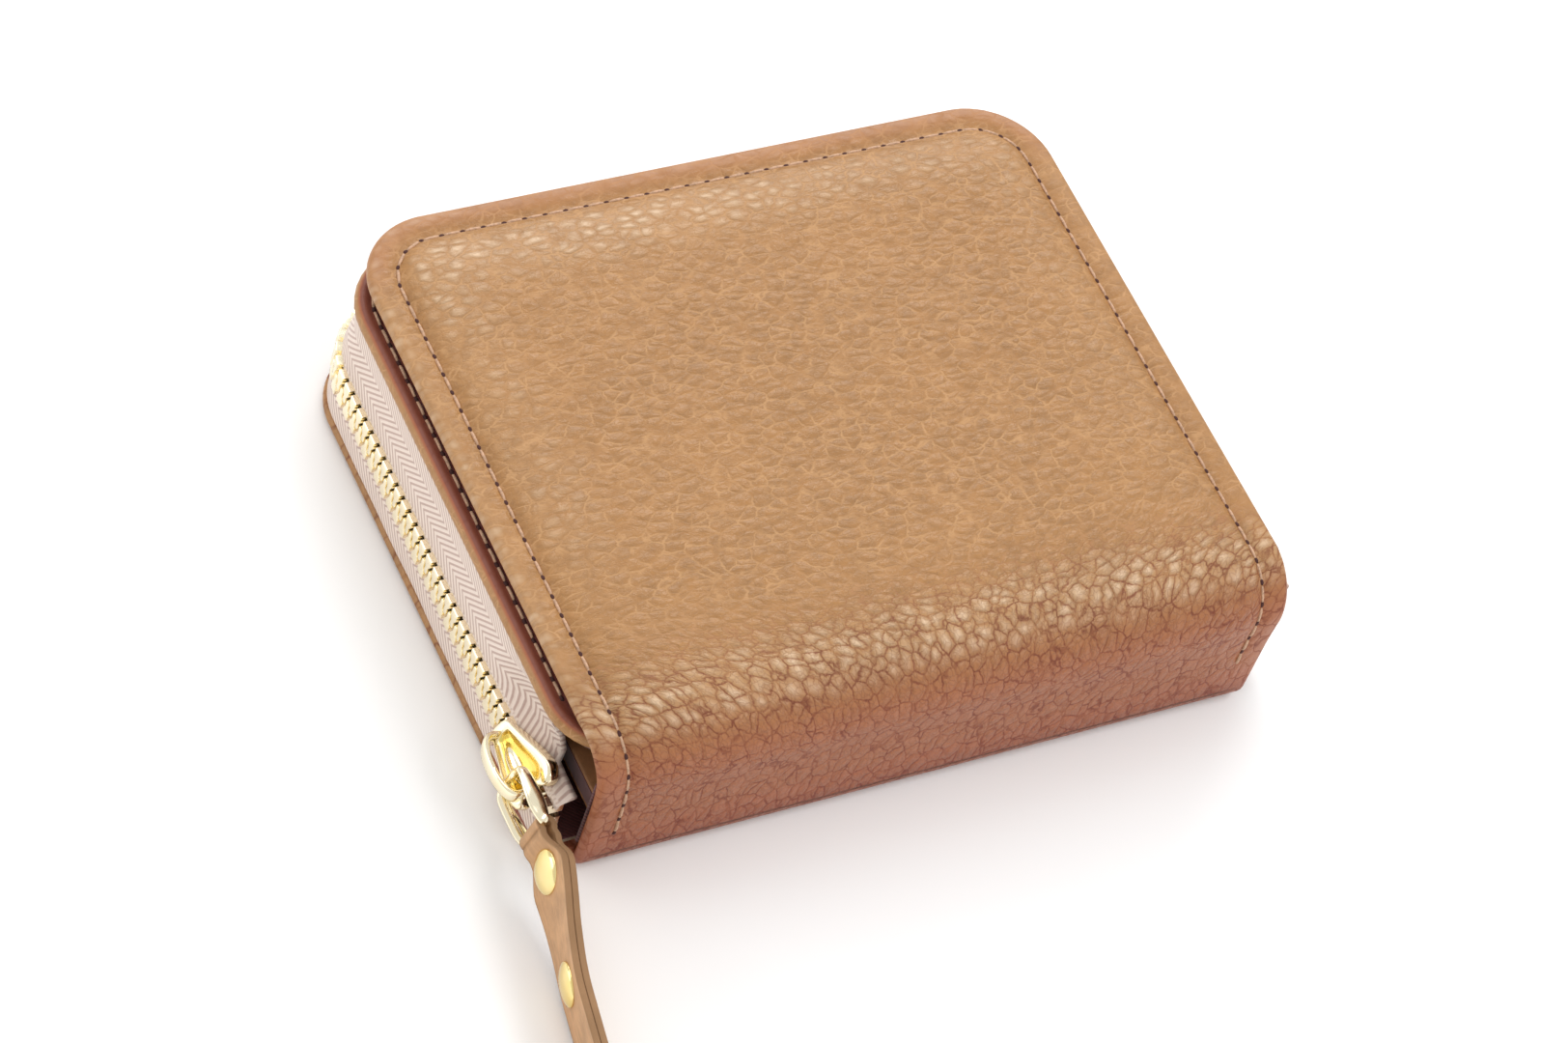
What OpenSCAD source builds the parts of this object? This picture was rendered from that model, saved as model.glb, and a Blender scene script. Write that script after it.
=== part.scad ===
// Zip around wallet: a zipped compartment in pebbled leather with a free outer flap.
// X runs along the spine, +Y to the back, +Z up. The origin is the centre of the flat bottom.

/* [Leather case] */
// Half width of the bottom cover
bottom_half = 59.2; // [58.6:0.1:60]
// Back edge of the bottom cover, from the middle of the case
bottom_back = 45.8; // [45.4:0.1:47]
// Front face of the spine, in front of the middle
spine_y = -47.5; // [-48.5:0.5:-47]
// Half width of the spine and its shoulder
spine_half = 54.8; // [50:0.2:55.2]
// Height at which the spine meets the shoulder
spine_top = 18; // [17.6:0.1:18.4]
// Half width of the upper cover of the zipped compartment
shell_half = 58.6; // [58.5:0.1:59.2]
// Back edge of the upper cover
shell_back = 46.4; // [46:0.1:47.5]
// Half width of the outer flap
flap_half = 56; // [52:0.5:57]
// Back edge of the outer flap
flap_back = 48.1; // [46:0.1:50]
// Radius of the two back corners
corner_r = 12.2; // [12:0.1:14]
// Thickness of the case leather
leather = 1.8; // [1.6:0.1:1.9]

/* [Zip] */
// Height of the middle of the chain
chain_z = 9.6; // [9.4:0.1:9.8]
// Distance of the chain from the middle, on both sides
chain_x = 58; // [57.8:0.1:58]
// Distance of the chain from the middle, at the back
chain_back = 44.9; // [44.6:0.1:45]
// Distance from one tooth to the next on the same tape
tooth_pitch = 2.4; // [2.2:0.1:3]
// Thickness of the woven tape
tape = 0.8; // [0.6:0.1:0.8]
// Travel of the slider along the straight left side
slider_travel = 58; // [20:1:58]

/* [Pull strap] */
// Length of the strap from the link bar to its tip
strap_length = 58; // [40:1:70]
// Full width of the strap
strap_width = 11; // [9:0.5:11]
// Thickness of the folded strap, both layers
strap_thick = 2.4; // [2:0.1:2.6]
// Outward turn of the strap at rest
strap_yaw = 8; // [7:1:12]
// Distance between the two rivets
rivet_gap = 15.8; // [12:0.2:20]

/* [Inside] */
// Half width of the card panels
panel_half = 50; // [44:1:52]
// Half width of the coin pouch
pouch_half = 53; // [46:1:54]
// Back edge of the coin pouch
pouch_back = 38; // [34:1:40]

/* [Hidden] */
$fn = 96;
gap = 0.3;
board = 0.8;
lining = 0.6;

// Heights of the layers, from the table up
board_low_z = leather;
lining_low_z = board_low_z + board;
panel_low_z = lining_low_z + lining;
pouch_low_z = 9.8;
pouch_wall = 0.6;
pouch_high_z = 14;
slip_low_z = 18.3;
panel_high_z = 20;
lining_high_z = panel_high_z + lining;
board_high_z = lining_high_z + lining;
shell_z = board_high_z + board;
shell_top = shell_z + leather;
pocket_thick = 0.6;
flap_pocket_z = shell_top + 0.4;
flap_lining_z = flap_pocket_z + 0.5;
flap_z = flap_lining_z + lining;
flap_top = 27.2;
crown_top = 29.6;

// Inner edges of the lining and the board inside the tape
inset_half = chain_x - tape - 0.4;
inset_back = chain_back - tape - 0.4;
inset_r = corner_r - 2;
zip_r = 11.6;
zip_front = -43.5;

// Chain
row_near = 0.7;
row_far = 2.7;
tooth_thick = 2.6;
tooth_long = 1.6;
slot_wide = 1.0;
slot_deep = 0.9;
first_tooth = 4;
side_run = chain_back - zip_r - zip_front;
arc_run = PI / 2 * zip_r;
back_run = 2 * (chain_x - zip_r);
chain_run = 2 * side_run + 2 * arc_run + back_run;
teeth_count = floor((chain_run - 2 * first_tooth) / tooth_pitch) + 1;

// Shoulder roll between the spine and the flap
roll_r = 8;
roll_y = spine_y + roll_r;
roll_z = flap_top - roll_r;
shoulder_thick = 2;

// Slider
slider_front = -40.5;
slider_back = -28.5;
slider_mid = (slider_front + slider_back) / 2;
plate_thick = 1.2;
chamber = tooth_thick / 2 + gap;
plate_high = 7.2;
crown_wide = 2.6;
crown_r = 3;
crown_hole_r = 1.85;
crown_half = 2.1;
plate_face_x = -chain_x - chamber - plate_thick;

// Link and strap pivots
link_x = plate_face_x - 0.85;
link_y = -36.8;
link_bar_r = 0.6;
band_thick = 1;
band_inner = 3.2;
elbow_y = slider_front - 0.6;
strap_x = link_x + 0.55;
strap_y = -45.4;
strap_bar_r = 0.65;
neck_half = 2.9;
strap_half = strap_width / 2;
strap_rest_z = strap_half + gap;
rivet_first = 6;
rivet_cap_r = 3.2;
rivet_cap_high = 0.8;
rivet_post_r = 1;

// Coin zip
coin_zip_y = 32.4;
coin_zip_half = 44;
coin_slider_x = -38;

// A plan outline with round back corners and, if wanted, round front corners.
module outline(half, front, back, r_back, r_front = 0) {
    translate([-half, front + r_front])
        square([2 * half, back - r_back - front - r_front]);
    translate([r_back - half, front + r_front])
        square([2 * (half - r_back), back - front - r_front]);
    for (side = [-1, 1])
        translate([side * (half - r_back), back - r_back]) circle(r = r_back);
    if (r_front > 0) {
        translate([r_front - half, front])
            square([2 * (half - r_front), 2 * r_front]);
        for (side = [-1, 1])
            translate([side * (half - r_front), front + r_front]) circle(r = r_front);
    }
}

// A flat layer with that outline.
module layer(z, thick, half, front, back, r_back, r_front = 0) {
    translate([0, 0, z])
        linear_extrude(thick)
            outline(half, front, back, r_back, r_front);
}

// Extrudes a (y, z) profile along X.
module along_x(x, long) {
    translate([x, 0, 0]) rotate([90, 0, 90]) linear_extrude(long) children();
}

// A box from its low corner to its high corner.
module block(low, high) {
    translate(low) cube(high - low);
}

// Upright woven band that follows the chain round three sides.
module tape_band(z, high) {
    translate([0, 0, z])
        linear_extrude(high)
            difference() {
                outline(chain_x + tape / 2, zip_front, chain_back + tape / 2, zip_r + tape / 2);
                outline(chain_x - tape / 2, zip_front - 5, chain_back - tape / 2, zip_r - tape / 2);
            }
}

// Position and heading [x, y, turn] at a distance s along the chain.
function chain_place(s) =
    let (
        corner_1 = side_run + arc_run,
        corner_2 = corner_1 + back_run,
        right_start = corner_2 + arc_run
    )
    s < side_run ? [-chain_x, zip_front + s, 0]
    : s < corner_1 ? let (a = (s - side_run) / arc_run * 90)
        [zip_r - chain_x - zip_r * cos(a), chain_back - zip_r + zip_r * sin(a), -a]
    : s < corner_2 ? [zip_r - chain_x + s - corner_1, chain_back, -90]
    : s < right_start ? let (a = (s - corner_2) / arc_run * 90)
        [chain_x - zip_r + zip_r * sin(a), chain_back - zip_r + zip_r * cos(a), -90 - a]
    : [chain_x, chain_back - zip_r - (s - right_start), -180];

// One metal piece clamped over a tape edge. It points up for the lower tape.
module clamped_piece(s, long, up) {
    place = chain_place(s);
    translate([place[0], place[1], chain_z])
        rotate([0, 0, place[2]])
            mirror([0, 0, up ? 1 : 0])
                difference() {
                    block([-tooth_thick / 2, -long / 2, row_near], [tooth_thick / 2, long / 2, row_far]);
                    block([-slot_wide / 2, -long, row_far - slot_deep], [slot_wide / 2, long, row_far + 1]);
                }
}

// A row of teeth. The upper row is set half a pitch along.
module teeth_row(up) {
    for (i = [0 : teeth_count - 2])
        clamped_piece(first_tooth + (i + (up ? 0 : 0.5)) * tooth_pitch, tooth_long, up);
}

// Stops at both ends of a tape.
module stops(up) {
    for (s = [1.2, chain_run - 1.2])
        clamped_piece(s, 1.6, up);
}

module bottom_cover() {
    color("peru")
        layer(0, leather, bottom_half, spine_y + leather + gap, bottom_back, corner_r, 4.6);
}

module bottom_board() {
    color("tan")
        layer(board_low_z, board, inset_half, spine_y + 4, inset_back, inset_r);
}

module lower_lining() {
    color("saddlebrown")
        layer(lining_low_z, lining, inset_half, spine_y + 4, inset_back, inset_r);
}

module lower_zip_tape() {
    color("antiquewhite")
        tape_band(leather, chain_z - row_far + slot_deep - 0.1 - leather);
}

module lower_zip_teeth() {
    color("gold") teeth_row(true);
}

module lower_end_stops() {
    color("gold") stops(true);
}

module card_panel() {
    color("saddlebrown")
        layer(panel_low_z, pocket_thick, panel_half, -42, 38, 3, 3);
}

// One card pocket: each one in front is shorter and lies on the one behind.
module card_pocket(i) {
    color("peru")
        layer(panel_low_z + i * pocket_thick, pocket_thick, panel_half - 1, -41, 30 - 16 * i, 2, 2);
}

module card_pocket_1() { card_pocket(1); }
module card_pocket_2() { card_pocket(2); }
module card_pocket_3() { card_pocket(3); }

module spine_cover() {
    color("peru")
        block([-spine_half, spine_y, gap], [spine_half, spine_y + leather, spine_top - gap]);
}

module spine_board() {
    color("tan")
        block([-spine_half + 3, spine_y + leather, panel_low_z + gap],
              [spine_half - 3, spine_y + leather + board, spine_top - gap]);
}

module spine_lining() {
    color("saddlebrown")
        block([-spine_half + 1, spine_y + leather + board, panel_low_z + gap],
              [spine_half - 1, spine_y + leather + board + lining, spine_top - gap]);
}

// Plan outline of the coin pouch, less an inner margin.
module pouch_outline(inset) {
    outline(pouch_half - inset, spine_y + leather + board + lining, pouch_back - inset, 6);
}

module coin_pouch_lower_wall() {
    color("saddlebrown")
        translate([0, 0, pouch_low_z]) linear_extrude(pouch_wall) pouch_outline(0);
}

module coin_pouch_upper_wall() {
    color("saddlebrown")
        translate([0, 0, pouch_high_z - pouch_wall])
            linear_extrude(pouch_wall)
                difference() {
                    pouch_outline(0);
                    translate([-coin_zip_half, coin_zip_y - 1]) square([2 * coin_zip_half, 2]);
                }
}

module coin_pouch_gusset() {
    color("sienna")
        translate([0, 0, pouch_low_z + pouch_wall])
            linear_extrude(pouch_high_z - pouch_low_z - 2 * pouch_wall)
                difference() {
                    pouch_outline(0);
                    translate([0, -5]) outline(pouch_half - 1, spine_y, pouch_back + 4, 5);
                }
}

module coin_zip_tape() {
    color("antiquewhite")
        translate([0, 0, pouch_high_z])
            linear_extrude(0.4)
                difference() {
                    translate([-coin_zip_half - 3, coin_zip_y - 5]) square([2 * coin_zip_half + 6, 10]);
                    translate([-coin_zip_half, coin_zip_y - 0.5]) square([2 * coin_zip_half, 1]);
                }
}

module coin_zip_coil() {
    color("gold")
        block([-coin_zip_half, coin_zip_y - 1.4, pouch_high_z + 0.4],
              [coin_zip_half, coin_zip_y + 1.4, pouch_high_z + 1.8]);
}

module coin_slider_body() {
    color("gold")
        difference() {
            block([coin_slider_x - 4, coin_zip_y - 2.6, pouch_high_z + 0.7],
                  [coin_slider_x + 4, coin_zip_y + 2.6, pouch_high_z + 2.9]);
            block([coin_slider_x - 5, coin_zip_y - 1.7, pouch_high_z],
                  [coin_slider_x + 5, coin_zip_y + 1.7, pouch_high_z + 2.1]);
        }
}

module coin_slider_pull() {
    color("gold")
        translate([coin_slider_x, coin_zip_y, pouch_high_z + 2.9])
            linear_extrude(0.8)
                difference() {
                    union() {
                        translate([0, -1.8]) square([11, 3.6]);
                        circle(r = 1.8);
                        translate([11, 0]) circle(r = 1.8);
                    }
                    translate([11, 0]) circle(r = 0.8);
                }
}

// The leather roll that carries the cover over the top of the spine.
module shoulder_cover() {
    color("peru")
        along_x(-spine_half, 2 * spine_half) {
            intersection() {
                translate([roll_y, roll_z])
                    difference() {
                        circle(r = roll_r);
                        circle(r = roll_r - shoulder_thick);
                    }
                translate([spine_y - 1, roll_z]) square([roll_r + 0.7, roll_r + 2]);
            }
            translate([spine_y, spine_top + gap])
                square([shoulder_thick, roll_z - spine_top - gap]);
        }
}

module shell_cover() {
    color("peru")
        difference() {
            layer(shell_z, leather, shell_half, spine_y + 2.6, shell_back, corner_r, 4);
            along_x(-spine_half - gap, 2 * spine_half + 2 * gap)
                difference() {
                    translate([spine_y - 1, roll_z]) square([roll_r + 1, roll_r + 2]);
                    translate([roll_y, roll_z]) circle(r = roll_r - shoulder_thick);
                }
        }
}

module shell_board() {
    color("tan")
        layer(board_high_z, board, inset_half, spine_y + 4.5, inset_back, inset_r);
}

module shell_lining() {
    color("saddlebrown")
        layer(lining_high_z, lining, inset_half, spine_y + 4, inset_back, inset_r);
}

module upper_zip_tape() {
    low = chain_z + row_far - slot_deep + 0.1;
    color("antiquewhite") tape_band(low, shell_z - low);
}

module upper_zip_teeth() {
    color("gold") teeth_row(false);
}

module upper_end_stops() {
    color("gold") stops(false);
}

module slip_panel() {
    color("saddlebrown")
        layer(panel_high_z, lining, panel_half, -42, 38, 3, 3);
}

// A pocket under the slip panel, which faces the compartment.
module slip_pocket(z, back) {
    color("peru")
        layer(z, panel_high_z - slip_low_z - 0.85, panel_half - 1, -41, back, 2, 2);
}

module slip_pocket_1() { slip_pocket(slip_low_z + 0.85, 28); }
module slip_pocket_2() { slip_pocket(slip_low_z, 12); }

// The outer flap: a flat rim and a padded middle that rises towards the centre.
module flap_cover() {
    color("peru")
        difference() {
            union() {
                layer(flap_z, flap_top - flap_z, flap_half, roll_y + gap, flap_back, corner_r);
                hull() {
                    layer(flap_top - 0.1, 0.1, flap_half - 4.5, roll_y + 1, flap_back - 4.5, corner_r - 3);
                    layer(crown_top - 0.1, 0.1, flap_half - 14, roll_y + 10, flap_back - 14, corner_r - 6);
                }
            }
            flap_padding_block();
        }
}

module flap_padding_block() {
    layer(flap_z, 3, flap_half - 9, roll_y + 6, flap_back - 9, corner_r - 4, 2);
}

module flap_padding() {
    color("beige") flap_padding_block();
}

module flap_lining() {
    color("saddlebrown")
        layer(flap_lining_z, lining, flap_half - 0.6, roll_y + 0.6, flap_back - 0.6, corner_r - 0.6);
}

module flap_pocket() {
    color("sienna")
        layer(flap_pocket_z, 0.5, flap_half - 3, roll_y + 2, 8, 2, 2);
}

// Side outline of a slider plate in (y, z): wide over the mouths, narrower at the tail.
module slider_outline(high) {
    half = high / 2;
    translate([slider_front + 2, chain_z - half])
        square([slider_back - slider_front - 4, high]);
    for (side = [-1, 1]) {
        translate([slider_front + 2, chain_z + side * (half - 1.6)]) circle(r = 1.6);
        translate([slider_back - 2, chain_z + side * (half - 2)]) circle(r = 2);
    }
    translate([slider_front + 0.4, chain_z - half + 1.6])
        square([slider_back - slider_front - 0.4, high - 3.6]);
}

module slider_outer_plate() {
    color("gold") {
        along_x(plate_face_x, plate_thick) slider_outline(plate_high);
        block([plate_face_x + plate_thick, slider_front + 2, chain_z - plate_high / 2],
              [-chain_x - tape / 2 - gap, slider_back - 2, chain_z - row_far - gap]);
    }
}

module slider_inner_plate() {
    inner_x = chamber - chain_x;
    color("gold") {
        along_x(inner_x, plate_thick) slider_outline(plate_high);
        block([-chain_x + tape / 2 + gap, slider_front + 2, chain_z - plate_high / 2],
              [inner_x, slider_back - 2, chain_z - row_far - gap]);
    }
}

module slider_divider() {
    color("gold")
        block([-chain_x - chamber, slider_front + 0.8, chain_z - 0.45],
              [-chain_x + chamber, slider_front + 2.4, chain_z + 0.45]);
}

// Plan of the crown arch over the outer plate, or of the opening under it.
module crown_plan(r) {
    for (side = [-1, 1])
        translate([plate_face_x, slider_mid + side * crown_half]) circle(r = r);
    translate([plate_face_x - r, slider_mid - crown_half]) square([2 * r, 2 * crown_half]);
}

module slider_crown() {
    color("gold")
        translate([0, 0, chain_z - crown_wide / 2])
            linear_extrude(crown_wide)
                difference() {
                    crown_plan(crown_r);
                    crown_plan(crown_hole_r);
                    translate([plate_face_x, slider_front - 5]) square([10, 30]);
                }
}

// A frame of two bent flat bands and two round bars. The back bar hangs in the crown.
module pull_link() {
    color("gold") {
        for (z = [chain_z + band_inner, chain_z - band_inner - band_thick])
            translate([0, 0, z])
                linear_extrude(band_thick) {
                    translate([link_x, link_y]) circle(r = 0.8);
                    translate([strap_x, strap_y]) circle(r = 1);
                    polygon([
                        [link_x + 0.8, link_y], [plate_face_x - 0.1, elbow_y], [strap_x + 1, strap_y],
                        [strap_x - 1.7, strap_y], [link_x - 1.4, elbow_y], [link_x - 0.8, link_y]
                    ]);
                }
        translate([link_x, link_y, chain_z - band_inner])
            cylinder(r = link_bar_r, h = 2 * band_inner);
        translate([strap_x, strap_y, chain_z - band_inner])
            cylinder(r = strap_bar_r, h = 2 * band_inner);
    }
}

// Places a piece of the strap: the local -Y axis runs from the bar to the tip.
module on_strap() {
    translate([strap_x, strap_y, 0]) rotate([0, 0, -strap_yaw]) children();
}

function ease(t) = let (u = min(max(t, 0), 1)) u * u * (3 - 2 * u);
function strap_mid(s) = chain_z - (chain_z - strap_rest_z) * ease((s - 2) / 24);
function strap_half_at(s) = neck_half + (strap_half - neck_half) * ease((s - 2.4) / 5);

// Side outline of the strap in (y, z): it droops from the bar and rests on its edge.
module strap_side() {
    steps = [for (s = [1 : 0.75 : 8.5]) s, for (s = [10 : 2 : 26]) s, strap_length - strap_half];
    upper = [for (s = steps) [-s, strap_mid(s) + strap_half_at(s)]];
    lower = [for (i = [len(steps) - 1 : -1 : 0])
        [-steps[i], strap_mid(steps[i]) - strap_half_at(steps[i])]];
    polygon(concat(upper, lower));
    translate([strap_half - strap_length, strap_rest_z]) circle(r = strap_half);
}

module rivet_places() {
    for (s = [rivet_first, rivet_first + rivet_gap])
        translate([0, -s, strap_mid(s)]) rotate([0, 90, 0]) children();
}

module pull_strap() {
    color("burlywood")
        on_strap()
            difference() {
                union() {
                    along_x(-strap_thick / 2, strap_thick) strap_side();
                    translate([0, 0, chain_z - neck_half])
                        cylinder(r = strap_bar_r + 1.05, h = 2 * neck_half);
                }
                translate([0, 0, chain_z - 5]) cylinder(r = strap_bar_r + 0.1, h = 10);
                rivet_places() cylinder(r = rivet_post_r, h = 10, center = true);
            }
}

module rivet_caps() {
    color("gold")
        on_strap()
            rivet_places()
                for (side = [0, 1])
                    mirror([0, 0, side])
                        translate([0, 0, strap_thick / 2])
                            intersection() {
                                cylinder(r = rivet_cap_r, h = rivet_cap_high);
                                translate([0, 0, rivet_cap_high - 7]) sphere(r = 7);
                            }
}

module rivet_posts() {
    color("gold")
        on_strap()
            rivet_places() cylinder(r = rivet_post_r, h = strap_thick, center = true);
}

bottom_cover();
bottom_board();
lower_lining();
lower_zip_tape();
lower_zip_teeth();
lower_end_stops();
card_panel();
card_pocket_1();
card_pocket_2();
card_pocket_3();
spine_cover();
spine_board();
spine_lining();
coin_pouch_lower_wall();
coin_pouch_upper_wall();
coin_pouch_gusset();
coin_zip_tape();
coin_zip_coil();
coin_slider_body();
coin_slider_pull();
shoulder_cover();
shell_cover();
shell_board();
shell_lining();
upper_zip_tape();
upper_zip_teeth();
upper_end_stops();
slip_panel();
slip_pocket_1();
slip_pocket_2();
flap_cover();
flap_padding();
flap_lining();
flap_pocket();
slider_outer_plate();
slider_inner_plate();
slider_divider();
slider_crown();
pull_link();
pull_strap();
rivet_caps();
rivet_posts();
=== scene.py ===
"""Looks of the zip around wallet: leather, zip, slider, strap and inner panels round the fixed frame."""
import math

import bmesh
import bpy
import numpy as np
from mathutils import Matrix, Vector, noise


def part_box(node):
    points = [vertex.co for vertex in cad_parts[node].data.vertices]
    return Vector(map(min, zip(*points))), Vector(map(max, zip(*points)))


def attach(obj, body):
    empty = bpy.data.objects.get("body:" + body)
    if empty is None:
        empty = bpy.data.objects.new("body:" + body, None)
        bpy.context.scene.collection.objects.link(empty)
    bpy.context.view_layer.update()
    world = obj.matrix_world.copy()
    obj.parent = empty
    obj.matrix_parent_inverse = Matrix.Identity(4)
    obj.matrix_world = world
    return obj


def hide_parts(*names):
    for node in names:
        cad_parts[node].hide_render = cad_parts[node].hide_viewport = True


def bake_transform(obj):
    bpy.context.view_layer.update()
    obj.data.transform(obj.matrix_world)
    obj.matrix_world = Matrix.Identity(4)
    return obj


bl_info = {
    "name": "Zip around wallet",
    "version": (1, 0, 0),
    "blender": (4, 5, 0),
    "location": "View3D > Sidebar > Wallet",
    "description": "Builds the leather, zip, slider, strap and linings of a zip around wallet",
    "category": "Add Mesh",
}

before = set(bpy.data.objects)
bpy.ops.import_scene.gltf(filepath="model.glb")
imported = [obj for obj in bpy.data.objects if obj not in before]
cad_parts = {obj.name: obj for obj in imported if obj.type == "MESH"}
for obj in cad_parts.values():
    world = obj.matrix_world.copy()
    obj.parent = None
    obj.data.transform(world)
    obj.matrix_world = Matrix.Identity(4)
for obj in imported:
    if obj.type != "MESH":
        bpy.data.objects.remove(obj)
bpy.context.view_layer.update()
MM = 0.001


def node_box(name):
    """Lowest and highest corner of a frame node, in millimetres."""
    low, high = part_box(name)
    return np.array(low) / MM, np.array(high) / MM


# ---------------------------------------------------------------- sizes taken from the frame, in millimetres

BOTTOM_HIGH = node_box("bottom_cover")[1]
SPINE_LOW = node_box("spine_cover")[0]
FLAP_HIGH = node_box("flap_cover")[1]
RIM_TOP = node_box("shoulder_cover")[1][2]
SHELL_LOW, SHELL_HIGH = node_box("shell_cover")
TAPE_LOW, TAPE_HIGH = node_box("lower_zip_tape")
DIVIDER_LOW, DIVIDER_HIGH = node_box("slider_divider")
PLATE_LOW, PLATE_HIGH = node_box("slider_outer_plate")
LINK_LOW, LINK_HIGH = node_box("pull_link")

LEATHER = 1.9  # thickness of the outer leather
NEUTRAL = LEATHER / 2  # depth of its middle
CORNER = 12.2  # radius of the back corners
STITCH_INSET = 4.4  # from the turned edge to the sewing
FLAP_HALF = FLAP_HIGH[0]
BOTTOM_HALF = BOTTOM_HIGH[0]
SPINE_HALF = 54.6

# the skin's runs, measured along its middle from the foot of the spine
SPINE_Y = SPINE_LOW[1] + NEUTRAL
FOOT_R = 2.0  # bend from the bottom into the spine
ROLL_R = 8 - NEUTRAL  # roll from the spine onto the top
SPINE_RUN = RIM_TOP - NEUTRAL - ROLL_R - NEUTRAL - FOOT_R
FOOT_RUN = math.pi / 2 * FOOT_R
ROLL_RUN = math.pi / 2 * ROLL_R
ROLL_START = SPINE_RUN
ROLL_END = SPINE_RUN + ROLL_RUN
SKIN_END = ROLL_END + FLAP_HIGH[1] - (SPINE_Y + ROLL_R)
SKIN_START = -FOOT_RUN - (BOTTOM_HIGH[1] - (SPINE_Y + FOOT_R))
SPINE_SEAM = 7.0  # where the mesh is cut between the bottom and the shoulder
CREASE_SEAM = ROLL_START + 0.75 * ROLL_RUN  # where it is cut between the shoulder and the flap

# the zip's chain, which runs along the left side, the back and the right side
CHAIN_Z = (DIVIDER_LOW[2] + DIVIDER_HIGH[2]) / 2
TAPE_HALF = 0.4
CHAIN_X = TAPE_HIGH[0] - TAPE_HALF
CHAIN_BACK = TAPE_HIGH[1] - TAPE_HALF
CHAIN_CORNER = 11.6
ZIP_FRONT = TAPE_LOW[1]
CHAIN_SIDE = CHAIN_BACK - CHAIN_CORNER - ZIP_FRONT
CHAIN_REAR = 2 * (CHAIN_X - CHAIN_CORNER)
CHAIN_LENGTH = 2 * CHAIN_SIDE + math.pi * CHAIN_CORNER + CHAIN_REAR
COVER_FRONT_R = 10.0  # front corners of the compartment's cover

SLIDER_TILT = math.radians(32)
SLIDER_X, SLIDER_Z = -58.2, CHAIN_Z + 0.3

STRAP_X, STRAP_Y = -61.1, LINK_LOW[1] + 1.0
STRAP_YAW = math.radians(8)
STRAP_LENGTH = 58.0
STRAP_HALF = 5.5
STRAP_NECK = 2.9  # half width where it passes through the link
SKIVED = 0.943  # thickness of each of its two layers
FOLD_R = 1.12  # fold round the link's bar
RIVETS = (6.0, 21.8)  # distances from the bar


# ---------------------------------------------------------------- settings that a user may change


class WalletSizes(bpy.types.PropertyGroup):
    """Sizes of the wallet's finish."""

    flap_rise: bpy.props.FloatProperty(
        name="Flap rise", description="How far the padded flap stands over its rim",
        default=0.0022, min=0, max=0.003, unit="LENGTH")
    stitch_pitch: bpy.props.FloatProperty(
        name="Stitch pitch", description="Distance from one stitch to the next",
        default=0.0033, min=0.002, max=0.005, unit="LENGTH")
    thread: bpy.props.FloatProperty(
        name="Thread", description="Diameter of the sewing thread",
        default=0.00052, min=0.0003, max=0.001, unit="LENGTH")
    tooth_pitch: bpy.props.FloatProperty(
        name="Tooth pitch", description="Distance between teeth on one tape",
        default=0.0024, min=0.002, max=0.004, unit="LENGTH")


def colour(name, description, default):
    """A colour property."""
    return bpy.props.FloatVectorProperty(
        name=name, description=description, default=default, size=3, min=0, max=1, subtype="COLOR")


class WalletColours(bpy.types.PropertyGroup):
    """Colours of the wallet's materials."""

    leather: colour("Leather", "Tan of the pebbled leather", (0.380, 0.183, 0.057))
    # Painted shade: the spine and the roll's lower half, which lie in shade, take this redder brown.
    leather_shade: colour("Leather shade", "Redder brown towards the foot of the spine", (0.368, 0.116, 0.047))
    crease: colour("Crease", "Pale colour in the creases of the grain", (0.60, 0.35, 0.155))
    # Painted highlight: cream laid on the pebbles over the roll, inside the padded rim and along the flap's left
    # edge.
    highlight_cream: colour("Pull up", "Cream of leather stretched over a bend", (0.72, 0.53, 0.35))
    strap: colour("Strap", "Smooth leather of the pull strap", (0.58, 0.32, 0.15))
    # Painted shadow: the wine under the flap's edge and at the foot of the spine.
    underside: colour("Under the flap", "Wine shade of the leather beneath the flap's edge", (0.15, 0.032, 0.028))
    thread: colour("Thread", "Sewing thread", (0.62, 0.38, 0.24))
    tape: colour("Tape", "Woven zip tape", (0.80, 0.67, 0.58))
    tape_line: colour("Tape line", "Darker yarn of the herringbone", (0.36, 0.21, 0.17))
    metal: colour("Metal", "Pale gold plating", (1.0, 0.90, 0.66))
    # Painted shade in the slider's recess; on the rivets it is their own deeper tint.
    metal_deep_and_recess_shade: colour("Metal in hollows", "Richer gold in recesses and on the rivets", (0.88, 0.66, 0.16))
    lining: colour("Lining", "Woven lining", (0.075, 0.018, 0.020))
    pocket: colour("Pocket", "Thin leather of the card pockets", (0.42, 0.19, 0.075))


class WalletView(bpy.types.PropertyGroup):
    """The camera's place."""

    azimuth: bpy.props.FloatProperty(
        name="Azimuth", description="Turn of the view about the vertical",
        default=math.radians(41.857), subtype="ANGLE")
    elevation: bpy.props.FloatProperty(
        name="Elevation", description="Height of the view over the horizon",
        default=math.radians(50.864), subtype="ANGLE")
    roll: bpy.props.FloatProperty(
        name="Roll", description="Turn of the camera about its own axis",
        default=math.radians(21.517), subtype="ANGLE")
    distance: bpy.props.FloatProperty(
        name="Distance", description="Distance from the camera to its target",
        default=0.7369, unit="LENGTH")
    target: bpy.props.FloatVectorProperty(
        name="Target", description="Point that the camera looks at",
        default=(-0.00765, -0.00904, 0.015), size=3, subtype="TRANSLATION")
    lens: bpy.props.FloatProperty(
        name="Lens", description="Focal length in millimetres", default=117.85)


# ---------------------------------------------------------------- shader building


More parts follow.
